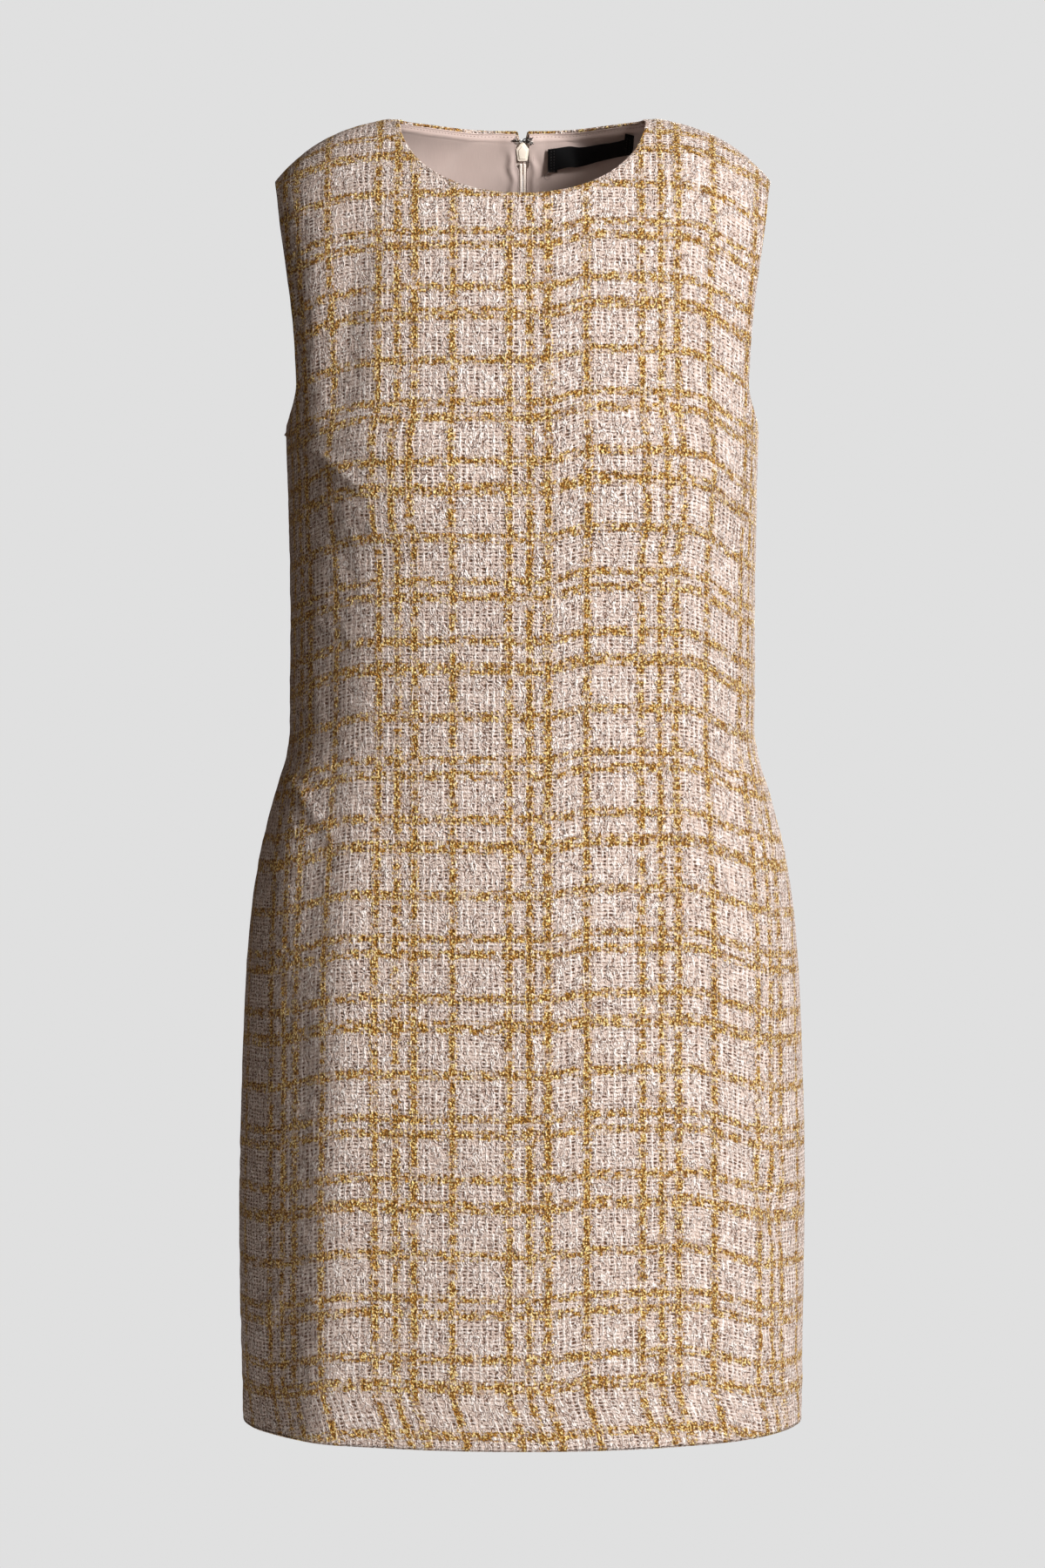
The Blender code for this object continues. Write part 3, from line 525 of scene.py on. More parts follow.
# Of each edge of a grid: its points, those two in from it, and the way off the flat cloth.
EDGES = {
    "hem": (lambda a: a[0], lambda a: a[2], (0.0, -1.0)),
    "top": (lambda a: a[-1], lambda a: a[-3], (0.0, 1.0)),
    "first": (lambda a: a[:, 0], lambda a: a[:, 2], None),
    "last": (lambda a: a[:, -1], lambda a: a[:, -3], None),
}
EDGE_SMOOTHING = 6


def finish_edges(sheet, points, flats, normals, radius, edges):
    """Turn in the named edges of a grid: each is (name, inner length, steps). A hem has no
    length: it is turned up over as many grid rows as it has steps."""
    for name, length, steps in edges:
        edge, inner, run = EDGES[name]
        out = edge_direction(edge(points), inner(points))
        for _ in range(EDGE_SMOOTHING):
            out[1:-1] = unit(out[:-2] + 2 * out[1:-1] + out[2:])
        flat_run = unit(edge(flats) - inner(flats)) if run is None else np.array(run)
        covered = slice(1, steps + 1)
        cover = (points[covered], normals[covered], flats[covered]) if name == "hem" else None
        turn_in(sheet, edge(sheet.index), edge(points), (edge(flats), flat_run), out,
                edge(normals), radius, length, steps, cover)


def ease_neck_point(points, column):
    """Round off the corner where the shoulder seam meets the neck, most in the top row."""
    for row, passes in ((-1, 14), (-2, 8), (-3, 4), (-4, 2)):
        for _ in range(passes):
            near = points[row, column - 4:column + 5]
            points[row, column - 3:column + 4] = (near[:-2] + 2 * near[1:-1] + near[2:]) / 4


def pull_back(points, radius):
    """Draw a grid's outermost points in by the radius of its rolled edges."""
    for edge, inner in ((0, 1), (-1, -2)):
        for view in (points, points.transpose(1, 0, 2)):
            gap = view[inner] - view[edge]
            length = np.linalg.norm(gap, axis=-1, keepdims=True)
            view[edge] += gap * np.clip(radius / np.maximum(length, 1e-6), 0, 0.85)


CENTRE_EASE = 0.03  # columns this near the centre back move over to leave the gap
CENTRE_CALM = (0.004, 0.030)  # the relief grows over this stretch from the centre back
RIM_RELIEF_SHARE = 0.4
MEAN_RELIEF = 0.0002
HEM_TURN_ROWS = 11


def tweed_centre_gap(height):
    share = np.clip((height - NECK_CENTRE[BACK]) / NECK_SLIT_DEPTH + 1, 0, None)
    return 0.0003 + NECK_SLIT_HALF_WIDTH * share**1.5


def keep_clear(points, side, hand, seam_gap, centre_gap):
    """Keep a half panel clear of the side and shoulder seams, and of the centre back."""
    x = np.abs(points[..., 0])
    x = np.where(x < CENTRE_EASE, centre_gap + x * (1 - centre_gap / CENTRE_EASE), x)
    y = np.maximum(np.abs(points[..., 1]), seam_gap)
    return np.stack([hand * x, side * y, points[..., 2]], axis=-1)


def boucle_relief(flats):
    """The cloth's own unevenness: thick and thin columns of loops, and slack between them."""
    u, v = flats[..., 0], flats[..., 1]
    loops = lattice_noise(u, v, 0.0042, 0.0060, 11) * 0.00022
    nubs = lattice_noise(u, v, 0.0090, 0.0070, 12) * 0.00026
    slack = lattice_noise(u, v, 0.038, 0.030, 13) * 0.00030
    broad = lattice_noise(u, v, 0.085, 0.110, 14) * 0.00080
    return loops + nubs + slack + broad


def join_halves(halves):
    """Grids of one panel from those of its halves, which share the centre line."""
    if len(halves) == 1:
        return halves[0]
    return [np.concatenate([left, right[:, -2::-1]], axis=1) for left, right in zip(*halves)]


def tweed_panel(name, side, hands, material):
    halves = []
    for hand in hands:
        points, flats = half_panel(side, hand, TWEED_GRID)
        gap = tweed_centre_gap(points[..., 2]) if side == BACK else 0.0
        points = keep_clear(points, side, hand, TWEED_SEAM_GAP, gap)
        ease_neck_point(points, round(TWEED_GRID[2] * SHOULDER_SHARE))
        halves.append((points, flats))
    points, flats = join_halves(halves)
    normals = grid_normals(points, side)
    rim = np.ones(points.shape[:2])
    rim[:2] = rim[-2:] = RIM_RELIEF_SHARE
    rim[:, :2] = rim[:, -2:] = RIM_RELIEF_SHARE
    relief = boucle_relief(flats) * rim + fold_relief(points[..., 0], points[..., 2], side, CREASES)
    if side == BACK:
        relief = relief * smooth_step(*CENTRE_CALM, np.abs(points[..., 0]))
    points = points + normals * (relief - MEAN_RELIEF)[..., None]
    pull_back(points, TWEED_HALF_THICKNESS)
    sheet = Sheet(points, flats)
    turned = [("hem", None, HEM_TURN_ROWS)] + [(edge, 0.004, 3) for edge in ("top", "first", "last")]
    finish_edges(sheet, points, flats, normals, TWEED_HALF_THICKNESS, turned)
    return sheet.object(name, (0, side, 0), material)


# ---- node materials
class Term:
    """A value in a node graph that can be added to, multiplied and compared."""

    def __init__(self, graph, socket):
        self.graph, self.socket = graph, socket

    def clamp(self):
        return self.graph.math("ADD", self, 0.0, clamp=True)

    def step(self, low, high):
        """Smooth rise from 0 at low to 1 at high."""
        low, high, start, end = (low, high, 0.0, 1.0) if low < high else (high, low, 1.0, 0.0)
        ends = {"From Min": low, "From Max": high, "To Min": start, "To Max": end}
        return self.graph.term("MapRange", {"Value": self, **ends}, "Result",
                               interpolation_type="SMOOTHSTEP")


def operator(operation, swapped):
    """A method of Term that does a node's operation."""
    def method(self, *others):
        terms = (self, *others)
        return self.graph.math(operation, *(terms[::-1] if swapped else terms))
    return method


for word, operation in (("add", "ADD"), ("sub", "SUBTRACT"), ("mul", "MULTIPLY")):
    setattr(Term, "__" + word + "__", operator(operation, False))
    setattr(Term, "__r" + word + "__", operator(operation, True))
for word, operation in (("floor", "FLOOR"), ("cos", "COSINE"), ("abs", "ABSOLUTE"),
                        ("max", "MAXIMUM"), ("min", "MINIMUM")):
    setattr(Term, word, operator(operation, False))


class Graph:
    """A Principled material and the nodes that feed it."""

    def __init__(self, name, colour=(0.5, 0.5, 0.5), **values):
        self.material = bpy.data.materials.new(name)
        self.material.use_nodes = True
        self.tree = self.material.node_tree
        self.shader = self.tree.nodes["Principled BSDF"]
        self.set("Base Color", (*colour, 1.0))
        for socket, value in values.items():
            self.set(socket.replace("_", " "), value)

    def set(self, socket, value):
        self.feed(self.shader.inputs[socket], value)

    def feed(self, socket, value):
        if isinstance(value, Term):
            self.tree.links.new(value.socket, socket)
        else:
            socket.default_value = value

    def term(self, kind, inputs, output=0, **settings):
        """The output of a new node of a kind, with what feeds its inputs, and its settings."""
        node = self.tree.nodes.new("ShaderNode" + kind)
        for name, value in settings.items():
            setattr(node, name, value)
        for socket, value in inputs.items():
            self.feed(node.inputs[socket], value)
        return Term(self, node.outputs[output])

    def math(self, operation, first, second=0.0, clamp=False):
        return self.term("Math", {0: first, 1: second}, operation=operation, use_clamp=clamp)

    def millimetres(self, place):
        split = self.tree.nodes.new("ShaderNodeSeparateXYZ")
        self.feed(split.inputs[0], place)
        return [Term(self, split.outputs[axis]) * 1000.0 for axis in "XYZ"]

    def cloth(self):
        """Place on the flat cloth, in millimetres."""
        return self.millimetres(self.term("UVMap", {}, "UV", uv_map="cloth"))[:2]

    def place(self):
        """Place in the object's frame, in millimetres."""
        return self.millimetres(self.term("TexCoord", {}, "Object"))

    def attribute(self, name):
        return self.term("Attribute", {}, "Fac", attribute_name=name)

    def vector(self, u, v, w=0.0):
        return self.term("CombineXYZ", {0: u, 1: v, 2: w})

    def noise(self, u, v, cell_u, cell_v, seed=0.0, detail=1.0, w=None):
        """Smooth random values round 0.5, with cells of about the given size."""
        place = self.vector(u * (1 / cell_u) + seed, v * (1 / cell_v) + seed, 0.0 if w is None else w)
        return self.term("TexNoise", {"Vector": place, "Scale": 1.0, "Detail": detail, "Roughness": 0.6},
                         noise_dimensions="2D" if w is None else "3D")

    def random(self, u, v):
        return self.term("TexWhiteNoise", {"Vector": self.vector(u, v)}, "Value", noise_dimensions="2D")

    def colour(self, share, start, end):
        start, end = (value if isinstance(value, Term) else (*value, 1.0) for value in (start, end))
        return self.term("Mix", {0: share, 6: start, 7: end}, 2, data_type="RGBA")

    def scale_colour(self, colour, amount):
        return self.term("VectorMath", {0: colour, "Scale": amount}, operation="SCALE")

    def bump(self, height, distance, strength=1.0):
        inputs = {"Strength": strength, "Distance": distance, "Height": height}
        self.set("Normal", self.term("Bump", inputs, "Normal"))


# The check, charted in millimetres on the flat cloth.
WARP_REPEAT = 89.5
WARP_COLUMNS = 21  # thread groups in a repeat
WARP_STRIPES = ((-9.1, 2.9), (4.8, 2.8), (16.8, 3.1), (42.9, 2.8))  # centre, half width
WEFT_REPEAT = 119.4
WEFT_ROWS = 46
WEFT_STRIPES = ((0.0, 3.2), (-28.8, 2.7), (-39.3, 3.1), (-68.7, 3.2), (-87.4, 4.4))
# The wool's darkest colour is painted shade in the pockets and hollows; its palest is white yarn together
# with painted highlight on the raised loops.
WOOL_HOLLOW_SHADE = (0.150, 0.070, 0.040)
WOOL_MIDDLE = (0.610, 0.470, 0.400)
WOOL_WHITE_AND_HIGHLIGHT = (0.980, 0.890, 0.840)
# The lightest gold is a painted glint on the metal yarn; the darkest lies where the foil's bump is low,
# partly painted shade.
GOLD_DARK = (0.190, 0.068, 0.006)
GOLD_MIDDLE = (0.600, 0.290, 0.045)
GOLD_PAINTED_GLINT = (1.0, 0.80, 0.36)


def stripe_cover(g, position, stripes, repeat, ragged):
    """1 inside the gold stripes, 0 outside, with a soft ragged edge."""
    nearest = None
    for centre, half_width in stripes:
        away = g.math("PINGPONG", position - (centre - 40 * repeat), repeat / 2) - half_width
        nearest = away if nearest is None else nearest.min(away)
    return (nearest + ragged).step(0.7, -0.7)


def tweed_material():
    """Ladders of weft bars between bright warp cords, with bouclé curls and gold stripes. The colour
    follows the relief: painted shade in the hollows, painted highlight and glints on top.
    """
    g = Graph("boucle_tweed", Roughness=0.85, Specular_IOR_Level=0.15, Sheen_Weight=0.05,
              Sheen_Roughness=0.5)
    u, v = g.cloth()
    loose_u = u + (g.noise(u, v, 30, 24, 3.1) - 0.5) * 1.2 + (g.noise(u, v, 2.8, 4.0, 7.7) - 0.5) * 3.0
    loose_v = v + (g.noise(u, v, 24, 32, 5.3) - 0.5) * 1.8 + (g.noise(u, v, 4.0, 2.6, 1.9) - 0.5) * 1.8
    warp = loose_u * (WARP_COLUMNS / WARP_REPEAT) + 0.5
    weft = loose_v * (WEFT_ROWS / WEFT_REPEAT)
    column, row = warp.floor(), weft.floor()
    across, along = (warp - column - 0.5).abs(), (weft - row - 0.5).abs()
    cord_tone = g.noise(u, v, 2.6, 6.5, 31.0, 1.0).step(0.30, 0.66)
    cord = across.step(0.26, 0.46) * cord_tone
    chance = g.random(column, row + 17.0)
    pocket = (warp - column - 0.40).abs().step(0.34, 0.08) * along.step(0.06, 0.38)
    pocket = pocket * (chance * 1.10 - 0.02).clamp()
    bar = along.step(0.50, 0.12) * (g.random(column, row) * 0.8 + 0.2)
    weave = 0.50 + bar * 0.26 + cord * 0.34 - pocket * 0.72

    curl = (g.noise(u, v, 3.4, 5.4, 8.0, 1.0) - 0.5).abs().step(0.095, 0.0)
    # Dark squiggles beside the curls: painted shade, set low in the relief and so darkened in colour.
    shade = (g.noise(u, v, 3.6, 5.0, 44.0, 1.0) - 0.5).abs().step(0.080, 0.0)
    nub = 0.54 + curl * 0.62 - shade * 0.56
    nubby = g.noise(u, v, 6.5, 15.0, 8.4, 2.0).step(0.42, 0.60)
    fibre = g.noise(u, v, 0.9, 1.2, 4.2, 2.0)
    height = mix(weave, nub, nubby * 0.80) + (fibre - 0.5) * 0.70

    ragged = (g.noise(u, v, 2.0, 1.8, 6.6, 2.0) - 0.5) * 6.5
    steady_u, steady_v = loose_u * 0.4 + u * 0.6, loose_v * 0.4 + v * 0.6
    warp_gold = stripe_cover(g, steady_u, WARP_STRIPES, WARP_REPEAT, ragged)
    weft_gold = stripe_cover(g, steady_v, WEFT_STRIPES, WEFT_REPEAT, ragged)
    warp_run = g.noise(column * 5.3, v, 1.0, 6.5, 12.5, 1.0).step(0.32, 0.58)
    weft_run = g.noise(u, row * 0.7, 7.5, 1.0, 15.5, 1.0).step(0.34, 0.60)
    warp_gold = warp_gold * (warp_run * 0.80 + 0.20)
    weft_gold = weft_gold * (weft_run * 0.85 + 0.15)
    over = (cord * 0.9 + curl * 0.25).clamp()
    gold = warp_gold.max(weft_gold) * (1.0 - over * 0.50)
    gold = (gold * 1.25 + (fibre - 0.5) * 0.8 * gold).clamp()

    tone = g.noise(u, v, 5.0, 9.0, 9.1, 2.0)
    # The wool's colour follows the relief's height: painted shade low in the pockets and curl shadows,
    # white yarn and painted highlight on top.
    wool = g.colour(height.step(-0.05, 0.56), WOOL_HOLLOW_SHADE, WOOL_MIDDLE)
    wool = g.colour(height.step(0.50, 1.02), wool, WOOL_WHITE_AND_HIGHLIGHT)
    wool = g.scale_colour(wool, 0.88 + tone * 0.24)
    # Random specks and the foil's own bump noise set the gold's tone: darker in its low spots, partly
    # painted shade, and painted glints on its brightest tops.
    speck_tone_and_glint = g.random((u * (1 / 1.1)).floor(), (v * (1 / 1.1)).floor())
    foil_tone = g.noise(u, v, 1.5, 1.7, 21.3, 1.0)
    foil_and_glint = g.colour((foil_tone + (speck_tone_and_glint - 0.5) * 0.30).step(0.32, 0.64), GOLD_DARK, GOLD_MIDDLE)
    foil_and_glint = g.colour((speck_tone_and_glint * 0.45 + foil_tone * 0.8).step(0.68, 0.84), foil_and_glint, GOLD_PAINTED_GLINT)
    g.set("Base Color", g.colour(gold, wool, foil_and_glint))
    g.set("Metallic", gold * 0.15)
    g.set("Roughness", 0.88 - gold * 0.45)
    g.bump(height + gold * (foil_tone - 0.3) * 1.2, 0.0026, 1.0)
    return g.material


def satin_material():
    g = Graph("lining_satin", Roughness=0.42, Specular_IOR_Level=0.4, Sheen_Weight=0.1)
    u, v = g.cloth()
    thread = g.noise(u, v, 0.25, 9.0, 2.2, 1.0)
    cross = g.noise(u, v, 6.0, 0.3, 5.2, 1.0)
    cloud = g.noise(u, v, 30.0, 45.0, 3.3, 2.0)
    tint = g.colour(cloud, (0.420, 0.325, 0.290), (0.470, 0.374, 0.340))
    # The band over the seam allowances is painted paler: painted light where they push the satin up,
    # partly their show-through.
    g.set("Base Color", g.scale_colour(tint, (0.90 + thread * 0.14) + g.attribute("pale") * 0.20))
    g.set("Roughness", 0.36 + cross * 0.14)
    g.bump(thread * 0.5 + cross * 0.5, 0.00006, 0.6)
    return g.material


def simple_material(name, colour, roughness, metallic=0.0, cell=1.5, contrast=0.14, coat=0.0):
    """A finish with fine mottling in its tone and gloss."""
    g = Graph(name, Metallic=metallic, Coat_Weight=coat)
    x, y, z = g.place()
    mottle = g.noise(x, y, cell, cell, 1.0, 2.0, z * (1 / cell))
    tone = 1 - contrast / 2 + mottle * contrast
    g.set("Base Color", g.scale_colour(g.colour(mottle, colour, colour), tone))
    g.set("Roughness", roughness - 0.05 + mottle * 0.1)
    g.bump(mottle, 0.00004, 0.5)
    return g.material


# ---- tweed
def declare(piece, slot_name, *nodes, body="dress"):
    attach(piece, body)
    if nodes:
        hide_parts(*nodes)
    return piece


TWEED = tweed_material()
SATIN = satin_material()
PANELS = {"front": (FRONT, (LEFT, RIGHT)), "back_left": (BACK, (LEFT,)), "back_right": (BACK, (RIGHT,))}

for node, (side, hands) in PANELS.items():
    panel = declare(tweed_panel("tweed_" + node, side, hands, TWEED), "tweed", node)


# ---- lining
def lengths_from(points, axis, from_end=False):
    """Distance along a grid's lines from their first or last point."""
    points = np.flip(points, axis) if from_end else points
    steps = np.linalg.norm(np.diff(points, axis=axis), axis=-1)
    start = np.zeros_like(np.take(steps, [0], axis=axis))
    lengths = np.concatenate([start, np.cumsum(steps, axis=axis)], axis=axis)
    return np.flip(lengths, axis) if from_end else lengths


LINING_NECK_COLUMN = int(np.searchsorted(
    1 - np.linspace(1, 0, LINING_GRID[2] + 1) ** LINING_CROWDING[1], SHOULDER_SHARE))


def lining_inset(points, flats, side):
    """How far the lining lies inside the tweed's outer face: closed up along its edges, slack
    elsewhere, and drawn into soft ridges along the zip. Also the band over the seam allowances,
    painted paler: painted light where they push the satin up into the light, partly their show-through."""
    body_rows, column = LINING_GRID[0], LINING_NECK_COLUMN
    to_neck = lengths_from(points, 0, from_end=True)
    to_neck[:, :column] = np.linalg.norm(points[:, :column] - points[-1, column], axis=-1)
    to_arm = lengths_from(points, 1)
    to_arm[:body_rows] = np.linalg.norm(points[:body_rows] - points[body_rows, 0], axis=-1)
    near = np.minimum(to_neck, to_arm)
    inset = mix(LINING_EDGE_INSET, LINING_INSET, smooth_step(0.0, 0.0085, near))
    # The seam-allowance band: it lifts the lining, and its mask also paints the satin paler as painted
    # light.
    allowance = 1 - smooth_step(LINING_SEAM_ALLOWANCE - 0.0014, LINING_SEAM_ALLOWANCE, near)
    inset += 0.0008 * allowance * smooth_step(0.0012, 0.0026, near)
    u, v = flats[..., 0], flats[..., 1]
    inset += smooth_step(0.008, 0.030, near) * (lattice_noise(u, v, 0.034, 0.075, 31) * 0.0008
                                                + lattice_noise(u, v, 0.012, 0.024, 32) * 0.0003)
    if side == BACK:
        x, z = np.abs(points[..., 0]), points[..., 2]
        drawn = (1 - smooth_step(-0.019, -0.009, z)) * smooth_step(ZIP_FOOT - 0.03, ZIP_FOOT, z)
        wander = 0.0010 * np.sin(z * 210 + np.sign(points[..., 0])) + 0.0006 * np.sin(z * 470)
        for line_x, half_width, depth in ((0.0076, 0.0018, 0.0012), (0.0120, 0.0026, -0.0006)):
            inset += drawn * depth * np.exp(-(((x - line_x - wander) / half_width) ** 2))
        beside_zip = (1 - smooth_step(0.008, 0.018, x)) * smooth_step(ZIP_FOOT - 0.05, ZIP_FOOT, z)
        inset += 0.0009 * beside_zip
    return inset, allowance


def lining_panel(name, side, hands, material):
    """A lining panel, and the lines of its understitching as points with inward directions."""
    halves = []
    for hand in hands:
        points, flats = half_panel(side, hand, LINING_GRID, LINING_HEM_RISE, LINING_NECK_MARGIN,
                                   LINING_ARM_MARGIN, LINING_CROWDING)
        share_up = smooth_step(*LINING_ZIP_GAP_HEIGHTS, points[..., 2])
        gap = mix(*LINING_ZIP_GAP, share_up) if side == BACK else 0.0
        points = keep_clear(points, side, hand, LINING_SEAM_GAP, gap)
        halves.append((points, flats, *lining_inset(points, flats, side)))
    points, flats, inset, pale = join_halves(halves)
    normals = grid_normals(points, side)
    # Rows that end on the shoulder seam close up along it, so they face as the row before does.
    for row in range(LINING_GRID[0], len(points)):
        on_seam = np.abs(points[row, :, 1]) <= LINING_SEAM_GAP
        normals[row, on_seam] = normals[row - 1, on_seam]
    points = points - normals * inset[..., None]
    sheet = Sheet(points, flats)
    sheet.painted_band_light = pale
    turned = [("hem", None, 3), ("top", 0.002, 2)] + [("last", 0.003, 2)] * (side == BACK)
    finish_edges(sheet, points, flats, -normals, LINING_EDGE_RADIUS, turned)

    whole = np.concatenate([points, -normals], axis=-1)
    yoke = whole[LINING_GRID[0]:]
    two = len(halves) == 2
    neck = whole[:, LINING_NECK_COLUMN:-LINING_NECK_COLUMN if two else None].transpose(1, 0, 2)
    rows = [neck[:, ::-1], yoke] + ([yoke[:, ::-1]] if two else [])
    lines = [line_inside(lines_across, UNDERSTITCH_DISTANCE) for lines_across in rows]
    return sheet.object(name, (0, side, 0), material), lines


UNDERSTITCH_DISTANCE = 0.0018


def at_lengths(line, lengths):
    """Values of a line of points, with what they carry, at lengths from its start."""
    runs = lengths_from(line[:, :3], 0)
    return np.stack([np.interp(lengths, runs, values) for values in line.T], axis=-1)


def line_inside(rows, distance):
    return np.array([at_lengths(row, distance) for row in rows])


def resample(line, spacing):
    length = lengths_from(line[:, :3], 0)[-1]
    return at_lengths(line, np.linspace(0, length, max(int(length / spacing), 2)))


def round_faces(index):
    """Quads between the rings of points of tubes."""
    around = np.roll(index, -1, axis=-1)
    corners = (index[..., :-1, :], around[..., :-1, :], around[..., 1:, :], index[..., 1:, :])
    return np.stack(corners, axis=-1).reshape(-1, 4)


class Joined:
    """Many small shapes gathered in one mesh."""

    def __init__(self):
        self.points, self.faces, self.count = [], [], 0

    def add(self, points, faces):
        self.points.append(points.reshape(-1, 3))
        self.faces.extend((faces + self.count).tolist())
        self.count += points.size // 3

    def tube(self, line, radius, sides=6):
        """Round cord through points, closed at both ends. The radius may vary along it."""
        line = np.asarray(line, float)
        along = unit(np.gradient(line, axis=0))
        helper = [0.0, 0.0, 1.0] if abs(along[:, 2]).mean() < 0.8 else [1.0, 0.0, 0.0]
        side = unit(np.cross(along, helper))
        turns = (np.arange(sides) * 2 * math.pi / sides)[:, None]
        radius = np.broadcast_to(radius, (len(line),)).copy()
        radius[[0, -1]] *= 0.3
        ring = side[:, None] * np.cos(turns) + np.cross(along, side)[:, None] * np.sin(turns)
        points = line[:, None] + ring * radius[:, None, None]
        self.add(points, round_faces(np.arange(points.shape[0] * sides).reshape(-1, sides)))

    def stitches(self, line, spacing, length, width, height):
        """A row of arched stitches along a line of (point, direction off the cloth)."""
        spots = resample(line, spacing)
        place, off = spots[:, :3], unit(spots[:, 3:])
        along = unit(np.gradient(place, axis=0))
        side = np.cross(along, off)
        run = np.array([-0.5, -0.25, 0.0, 0.25, 0.5]) * length
        rise = np.array([-0.2, 0.7, 1.0, 0.7, -0.2]) * height
        thick = np.array([0.5, 0.9, 1.0, 0.9, 0.5]) * width / 2
        turns = np.arange(4) * math.pi / 2
        points = (place[:, None, None] + along[:, None, None] * run[None, :, None, None]
                  + off[:, None, None] * (rise[:, None] + thick[:, None] * np.sin(turns))[None, ..., None]
                  + side[:, None, None] * (thick[:, None] * np.cos(turns))[None, ..., None])
        self.add(points, round_faces(np.arange(points.size // 3).reshape(points.shape[:-1])))

    def object(self, name, material, slot_name, *nodes):
        mesh = bpy.data.meshes.new(name)
        mesh.from_pydata(np.concatenate(self.points).tolist(), [], self.faces)
        return declare(smooth_object(name, mesh, material), slot_name, *nodes)


THREAD = simple_material("lining_thread", (0.30, 0.22, 0.19), 0.6)
DARK_THREAD = simple_material("dark_thread", (0.030, 0.026, 0.024), 0.4)
SILVER_THREAD = simple_material("silver_thread", (0.66, 0.60, 0.56), 0.35, 0.2)
ENAMEL = simple_material("zip_enamel", (0.80, 0.71, 0.60), 0.30, coat=0.3)

understitching = Joined()
for node, (side, hands) in PANELS.items():
    lining, lines = lining_panel("lining_" + node + "_satin", side, hands, SATIN)
    declare(lining, "satin_lining", "lining_" + node)
    for line in lines:
        understitching.stitches(line, 0.0026, 0.0014, 0.00055, 0.00024)
understitching.object("understitching", THREAD, "satin_lining")


# ---- zip, hook and eye
def centre_back_frame(height):
    """Point on the centre back line with its outward and upward directions."""
    reach = 0.004
    above = surface_at(0.0, min(height + reach, NECK_CENTRE[BACK]), BACK)
    below = surface_at(0.0, height - reach, BACK)
    up = (above - below).normalized()
    out = up.cross(Vector((1, 0, 0))).normalized()
    return surface_at(0.0, height, BACK), out if out.y > 0 else -out, up


TAPE_INSET = 0.0027
TAPE_INNER_X = 0.0004
TAPE_HALF_WIDTH = 0.0095
TAPE_TOP = -0.0060
COIL_PITCH = 0.0013
COIL_RADIUS = 0.0011
COIL_RIB = 0.13  # how much each turn of the coil swells it
COIL_X = 0.0013
COIL_INSET = 0.0043
POINTS_A_TURN = 4

coil_top = SLIDER_HEIGHT + SHIELD_FOOT
coil_stations = np.linspace(ZIP_FOOT, coil_top, 120)
coil_frames = [centre_back_frame(float(height)) for height in coil_stations]
coil_path = np.array([place - out * COIL_INSET for place, out, _ in coil_frames])
coil_heights = np.arange(ZIP_FOOT, coil_top, COIL_PITCH / POINTS_A_TURN)
coil_line = np.stack([np.interp(coil_heights, coil_stations, values) for values in coil_path.T], axis=-1)
coil_rib = 1 + COIL_RIB * np.cos(np.arange(len(coil_heights)) * 2 * math.pi / POINTS_A_TURN)
COIL_FINISH = simple_material("coil_nylon", (0.78, 0.68, 0.60), 0.32)
for hand, word in ((LEFT, "left"), (RIGHT, "right")):
    coil = Joined()
    coil.tube(coil_line + [hand * COIL_X, 0, 0], COIL_RADIUS * coil_rib, 8)
    coil.object("coil_" + word, COIL_FINISH, "zip_tape", "zip_coil_" + word)

# How a flat outline stands on the slider: facing in or out, or seen from the side.
ACROSS_FACE = Matrix(((1, 0, 0, 0), (0, 0, 1, 0), (0, 1, 0, 0), (0, 0, 0, 1)))
ACROSS_EDGE = Matrix(((0, 0, 1, 0), (1, 0, 0, 0), (0, 1, 0, 0), (0, 0, 0, 1)))


def slider_matrix():
    place, out, up = centre_back_frame(SLIDER_HEIGHT)
    matrix = Matrix((Vector((1, 0, 0)), out, up)).transposed().to_4x4()
    matrix.translation = place
    return matrix


def rounded_plate(outlines, thickness, rounding, placement):
    """Flat outline with holes, half its thickness each way, with rounded edges."""
    curve = bpy.data.curves.new("outline", "CURVE")
    curve.dimensions = "2D"
    curve.fill_mode = "BOTH"
    curve.extrude = thickness / 2 - rounding
    curve.bevel_depth = rounding
    curve.bevel_resolution = 2
    curve.offset = -rounding
    for outline in outlines:
        spline = curve.splines.new("POLY")
        spline.points.add(len(outline) - 1)
        for point, (x, y) in zip(spline.points, outline):
            point.co = (x, y, 0.0, 1.0)
        spline.use_cyclic_u = True
    drawn = link("outline", curve)
    mesh = bpy.data.meshes.new_from_object(drawn.evaluated_get(bpy.context.evaluated_depsgraph_get()))
    bpy.data.objects.remove(drawn, do_unlink=True)
    bpy.data.curves.remove(curve)
    mesh.transform(placement)
    return mesh


def plates_object(name, meshes, material, slot_name, node, body="dress"):
    whole = bmesh.new()
    for mesh in meshes:
        whole.from_mesh(mesh)
    bmesh.ops.remove_doubles(whole, verts=whole.verts, dist=1e-7)
    joined = bpy.data.meshes.new(name)
    whole.to_mesh(joined)
    whole.free()
    piece = smooth_object(name, joined, material)
    joined.set_sharp_from_angle(angle=math.radians(50))
    declare(piece, slot_name, node, body=body)


def smooth_outline(corners, cuts=2, share=0.2):
    """Corner-cut a closed outline."""
    points = np.array(corners)
    for _ in range(cuts):
        after = np.roll(points, -1, axis=0)
        points = np.stack([mix(points, after, share), mix(after, points, share)], axis=1).reshape(-1, 2)
    return points


def circle(centre, radius, sides):
    turns = np.arange(sides) * 2 * math.pi / sides
    return np.stack([centre[0] + radius * np.cos(turns), centre[1] + radius * np.sin(turns)], axis=-1)


def both_sides(side):
    """Closed outline from its points on one side."""
    side = np.array(side)
    return np.concatenate([side, (side * [-1, 1])[::-1]])


